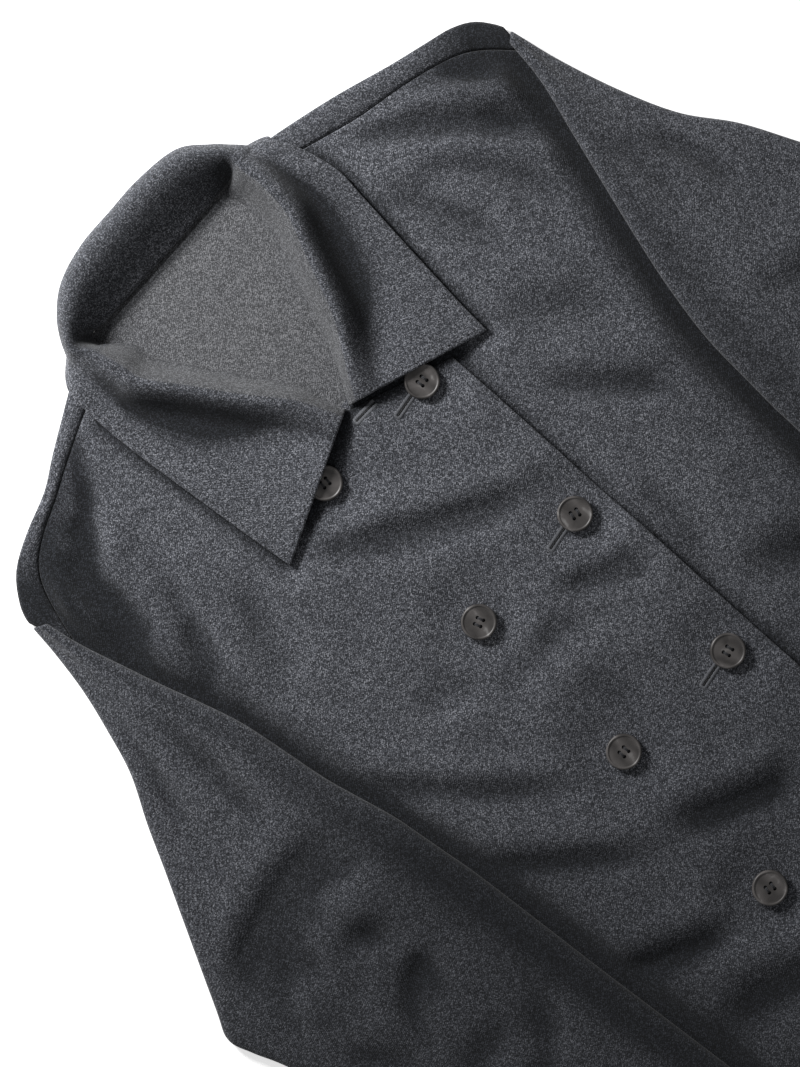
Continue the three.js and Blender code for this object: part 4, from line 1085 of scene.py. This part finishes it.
def thread_bars(places, radius, lift):
    """Short rounded threads, each from one point to another, as points and faces."""
    points, faces = [], []
    sides, cuts = 6, ((0.0, 0.35), (0.18, 0.9), (0.5, 1.0), (0.82, 0.9), (1.0, 0.35))
    for start, end in places:
        start, end = np.array(start, dtype=float), np.array(end, dtype=float)
        along = (end - start) / max(np.linalg.norm(end - start), 1e-6)
        across = np.cross(along, (0, 0, 1))
        across /= max(np.linalg.norm(across), 1e-6)
        up = np.cross(across, along)
        first = len(points)
        for t, size in cuts:
            middle = start + (end - start) * t + up * lift * math.sin(math.pi * t)
            points += [middle + radius * size * (c * across + s * up) for c, s in circle(sides)]
        for ring in range(len(cuts) - 1):
            for k in range(sides):
                a, b = first + ring * sides + k, first + ring * sides + (k + 1) % sides
                faces.append((a, a + sides, b + sides, b))
        faces.append(tuple(first + k for k in range(sides)))
        faces.append(tuple(first + (len(cuts) - 1) * sides + k for k in reversed(range(sides))))
    return points, faces


def cloth_top(x, y):
    """The height of the right front's upper face."""
    return float(front_right_z(np.array([float(x)]), np.array([float(y)]))[0]) + HALF


def finish_piece(piece, slot_name, *nodes):
    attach(piece, "root")
    if nodes:
        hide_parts(*nodes)


def sew(name, bars, radius, lift, material, slot_name="wool_cloth"):
    finish_piece(make_mesh(name, *thread_bars(bars, radius, lift), material), slot_name)


BUTTON_TURNS = (0.1, -0.25, 0.2, 0.0, -0.15, 0.3, 0.05, -0.2)
THREAD_RADIUS = 0.36
THREAD_Z = 2.05
master = button_mesh()
corners = np.empty(len(master.vertices) * 3)
master.vertices.foreach_get("co", corners)
master_points = corners.reshape(-1, 3)
master_faces = [tuple(face.vertices) for face in master.polygons]
for turn, (name, x, y) in zip(BUTTON_TURNS, BUTTONS):
    low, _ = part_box(f"button_{name}")
    seat = np.array([x, y, 1000 * low[2]])
    spin = np.array([[math.cos(turn), math.sin(turn), 0], [-math.sin(turn), math.cos(turn), 0], [0, 0, 1]])
    piece = make_mesh(f"button_{name}_horn", master_points @ spin + seat, master_faces, horn)
    bpy.context.view_layer.objects.active = piece
    piece.data.set_sharp_from_angle(angle=math.radians(50))
    finish_piece(piece, "horn_button", f"button_{name}")
    bars = []
    for side in (-1, 1):
        for shift in (-0.35, 0.35):
            ends = [np.array([side * HOLE_OFFSET + shift, y, THREAD_Z]) for y in (-HOLE_OFFSET, HOLE_OFFSET)]
            bars.append([end @ spin + seat for end in ends])
    sew(f"button_{name}_thread", bars, THREAD_RADIUS, 0.45, thread, "horn_button")

# Cloth
pieces = {
    "back": back(wool), "front_left": front("left", wool), "front_right": front("right", wool),
    "collar": collar(wool), "sleeve_left": sleeve("left", wool), "sleeve_right": sleeve("right", wool),
}
# Each piece hangs from the root, and its part from model.glb is hidden
for node, piece in pieces.items():
    finish_piece(piece, "wool_cloth", node)

# Buttonholes: two rows of close stitches beside a slit, and a near-black bar of painted shadow in the slit.
# Four start under the outer buttons, one is above them
HOLE_LENGTH = 24
HOLE_STITCH = 0.62
HOLE_SIDE = 2.5


def buttonhole(name, x, y, start, end, turn):
    along, across = (math.cos(turn), math.sin(turn)), (-math.sin(turn), math.cos(turn))

    def on_cloth(reach, aside, lift):
        px, py = x + along[0] * reach + across[0] * aside, y + along[1] * reach + across[1] * aside
        return px, py, cloth_top(px, py) + lift

    bars = []
    for reach in np.arange(start, end, HOLE_STITCH):
        for side in (-1, 1):
            bars.append((on_cloth(reach, side * 0.5, 0.1), on_cloth(reach + 0.15, side * HOLE_SIDE, -0.05)))
    for bend in np.linspace(-1.2, 1.2, 7):
        tip = (end + 1.7 * math.cos(bend), HOLE_SIDE * math.sin(bend))
        bars.append((on_cloth(end, 0.3 * math.sin(bend), 0.1), on_cloth(*tip, -0.05)))
    sew(name, bars, THREAD_RADIUS, 0.12, hole_thread)
    # A near-black bar along the slit is painted shadow in the opening
    cuts = np.linspace(start, end, 8)
    slit_shadow = [(on_cloth(a, 0, -0.1), on_cloth(b, 0, -0.1)) for a, b in zip(cuts, cuts[1:])]
    sew(f"{name}_slit", slit_shadow, 0.55, 0, slit_shade)


for name, x, y in BUTTONS[:4]:
    buttonhole(f"buttonhole_{name}", x, y, 7.5, HOLE_LENGTH, math.radians(187))
buttonhole("buttonhole_top", 13, 10.6, 0, 15, math.radians(178))


def collar_point(at, step):
    return collar_points(np.array([at]), np.array([step]))[0, 0]


def collar_stitches(name, at, steps):
    """Small stitches on top of the collar at matching sections and steps."""
    ends = [collar_point(*place) + [0, 0, HALF + 0.02] for place in zip(at, steps)]
    bars = list(zip(ends[::2], ends[1::2]))
    sew(name, bars, 0.24, 0.1, thread)


def evenly(points, spacing, length):
    """Positions along a chain of points for stitches of a given length, as pairs of fractions."""
    reach = np.concatenate([[0], np.cumsum(np.linalg.norm(np.diff(points, axis=0), axis=1))])
    starts = np.arange(1, reach[-1] - length, spacing)
    places = np.stack([starts, starts + length], axis=1).ravel()
    return np.interp(places, reach, np.linspace(0, 1, len(points)))


# Rows of stitches along the leaves' outer and front edges
EDGE_INSET = 3
STITCH_SPACING = 4.2
STITCH_LENGTH = 1.7
EDGE_SAMPLES = 240
FRONT_SAMPLES = 160
for name, start, end in (("left", 0.17, 8.4), ("right", 26.83, 18.4)):
    outer_at = np.linspace(start, end, EDGE_SAMPLES)
    edge, beside = (collar_points(outer_at, np.array([step]))[:, 0] for step in (4.0, 3.5))
    outer_steps = 4 - 0.5 * EDGE_INSET / np.linalg.norm(edge - beside, axis=1)
    line = np.array([collar_point(*place) for place in zip(outer_at, outer_steps)])
    t = evenly(line, STITCH_SPACING, STITCH_LENGTH)
    samples = np.linspace(0, 1, EDGE_SAMPLES)
    at, steps = np.interp(t, samples, outer_at), np.interp(t, samples, outer_steps)
    collar_stitches(f"collar_edge_stitches_{name}", at, steps)
    front_steps = np.linspace(1.4, 3.86, FRONT_SAMPLES)
    t = evenly(collar_points(np.array([start]), front_steps)[0], STITCH_SPACING, STITCH_LENGTH)
    steps = np.interp(t, np.linspace(0, 1, FRONT_SAMPLES), front_steps)
    collar_stitches(f"collar_front_stitches_{name}", np.full(len(t), start), steps)

# Floor, light and camera
floor = bpy.data.meshes.new("floor")
floor.from_pydata([(-3, -3, 0), (3, -3, 0), (3, 3, 0), (-3, 3, 0)], [], [(0, 1, 2, 3)])
floor.materials.append(bright_floor())
floor_object = new_object("floor", floor)


def area_light(name, place, target, size, power):
    data = bpy.data.lights.new(name, "AREA")
    data.shape, data.size, data.energy = "DISK", size, power
    light = new_object(name, data)
    light.location = place
    light.rotation_euler = (Vector(target) - Vector(place)).to_track_quat("-Z", "Y").to_euler()


area_light("key", (-0.1, 1.12, 0.48), (0, 0.2, 0), 0.3, 21)
area_light("fill", (-0.9, -0.2, 1.5), (0, 0, 0), 1.4, 3)
world = bpy.data.worlds.new("studio")
world.use_nodes = True
world.node_tree.nodes["Background"].inputs["Color"].default_value = (1, 1, 1, 1)
world.node_tree.nodes["Background"].inputs["Strength"].default_value = 0.2
bpy.context.scene.world = world
bpy.context.scene.view_settings.view_transform = "Standard"

SENSOR = 36
CAMERA_HEIGHT = 1.25
PICTURE_LENGTH = 0.5975
picture_middle = to_frame([-32.6, -48.9, 8])
camera_data = bpy.data.cameras.new("camera")
camera_data.sensor_fit, camera_data.sensor_height = "VERTICAL", SENSOR
camera_data.lens = SENSOR * CAMERA_HEIGHT / PICTURE_LENGTH
camera = new_object("camera", camera_data)
image_right, image_up = Vector((0.6652, -0.7467, 0)), Vector((0.7467, 0.6652, 0))
turn = Matrix((image_right, image_up, Vector((0, 0, 1)))).transposed().to_4x4()
camera.matrix_world = Matrix.Translation(Vector(picture_middle) + Vector((0, 0, CAMERA_HEIGHT))) @ turn
bpy.context.scene.camera = camera
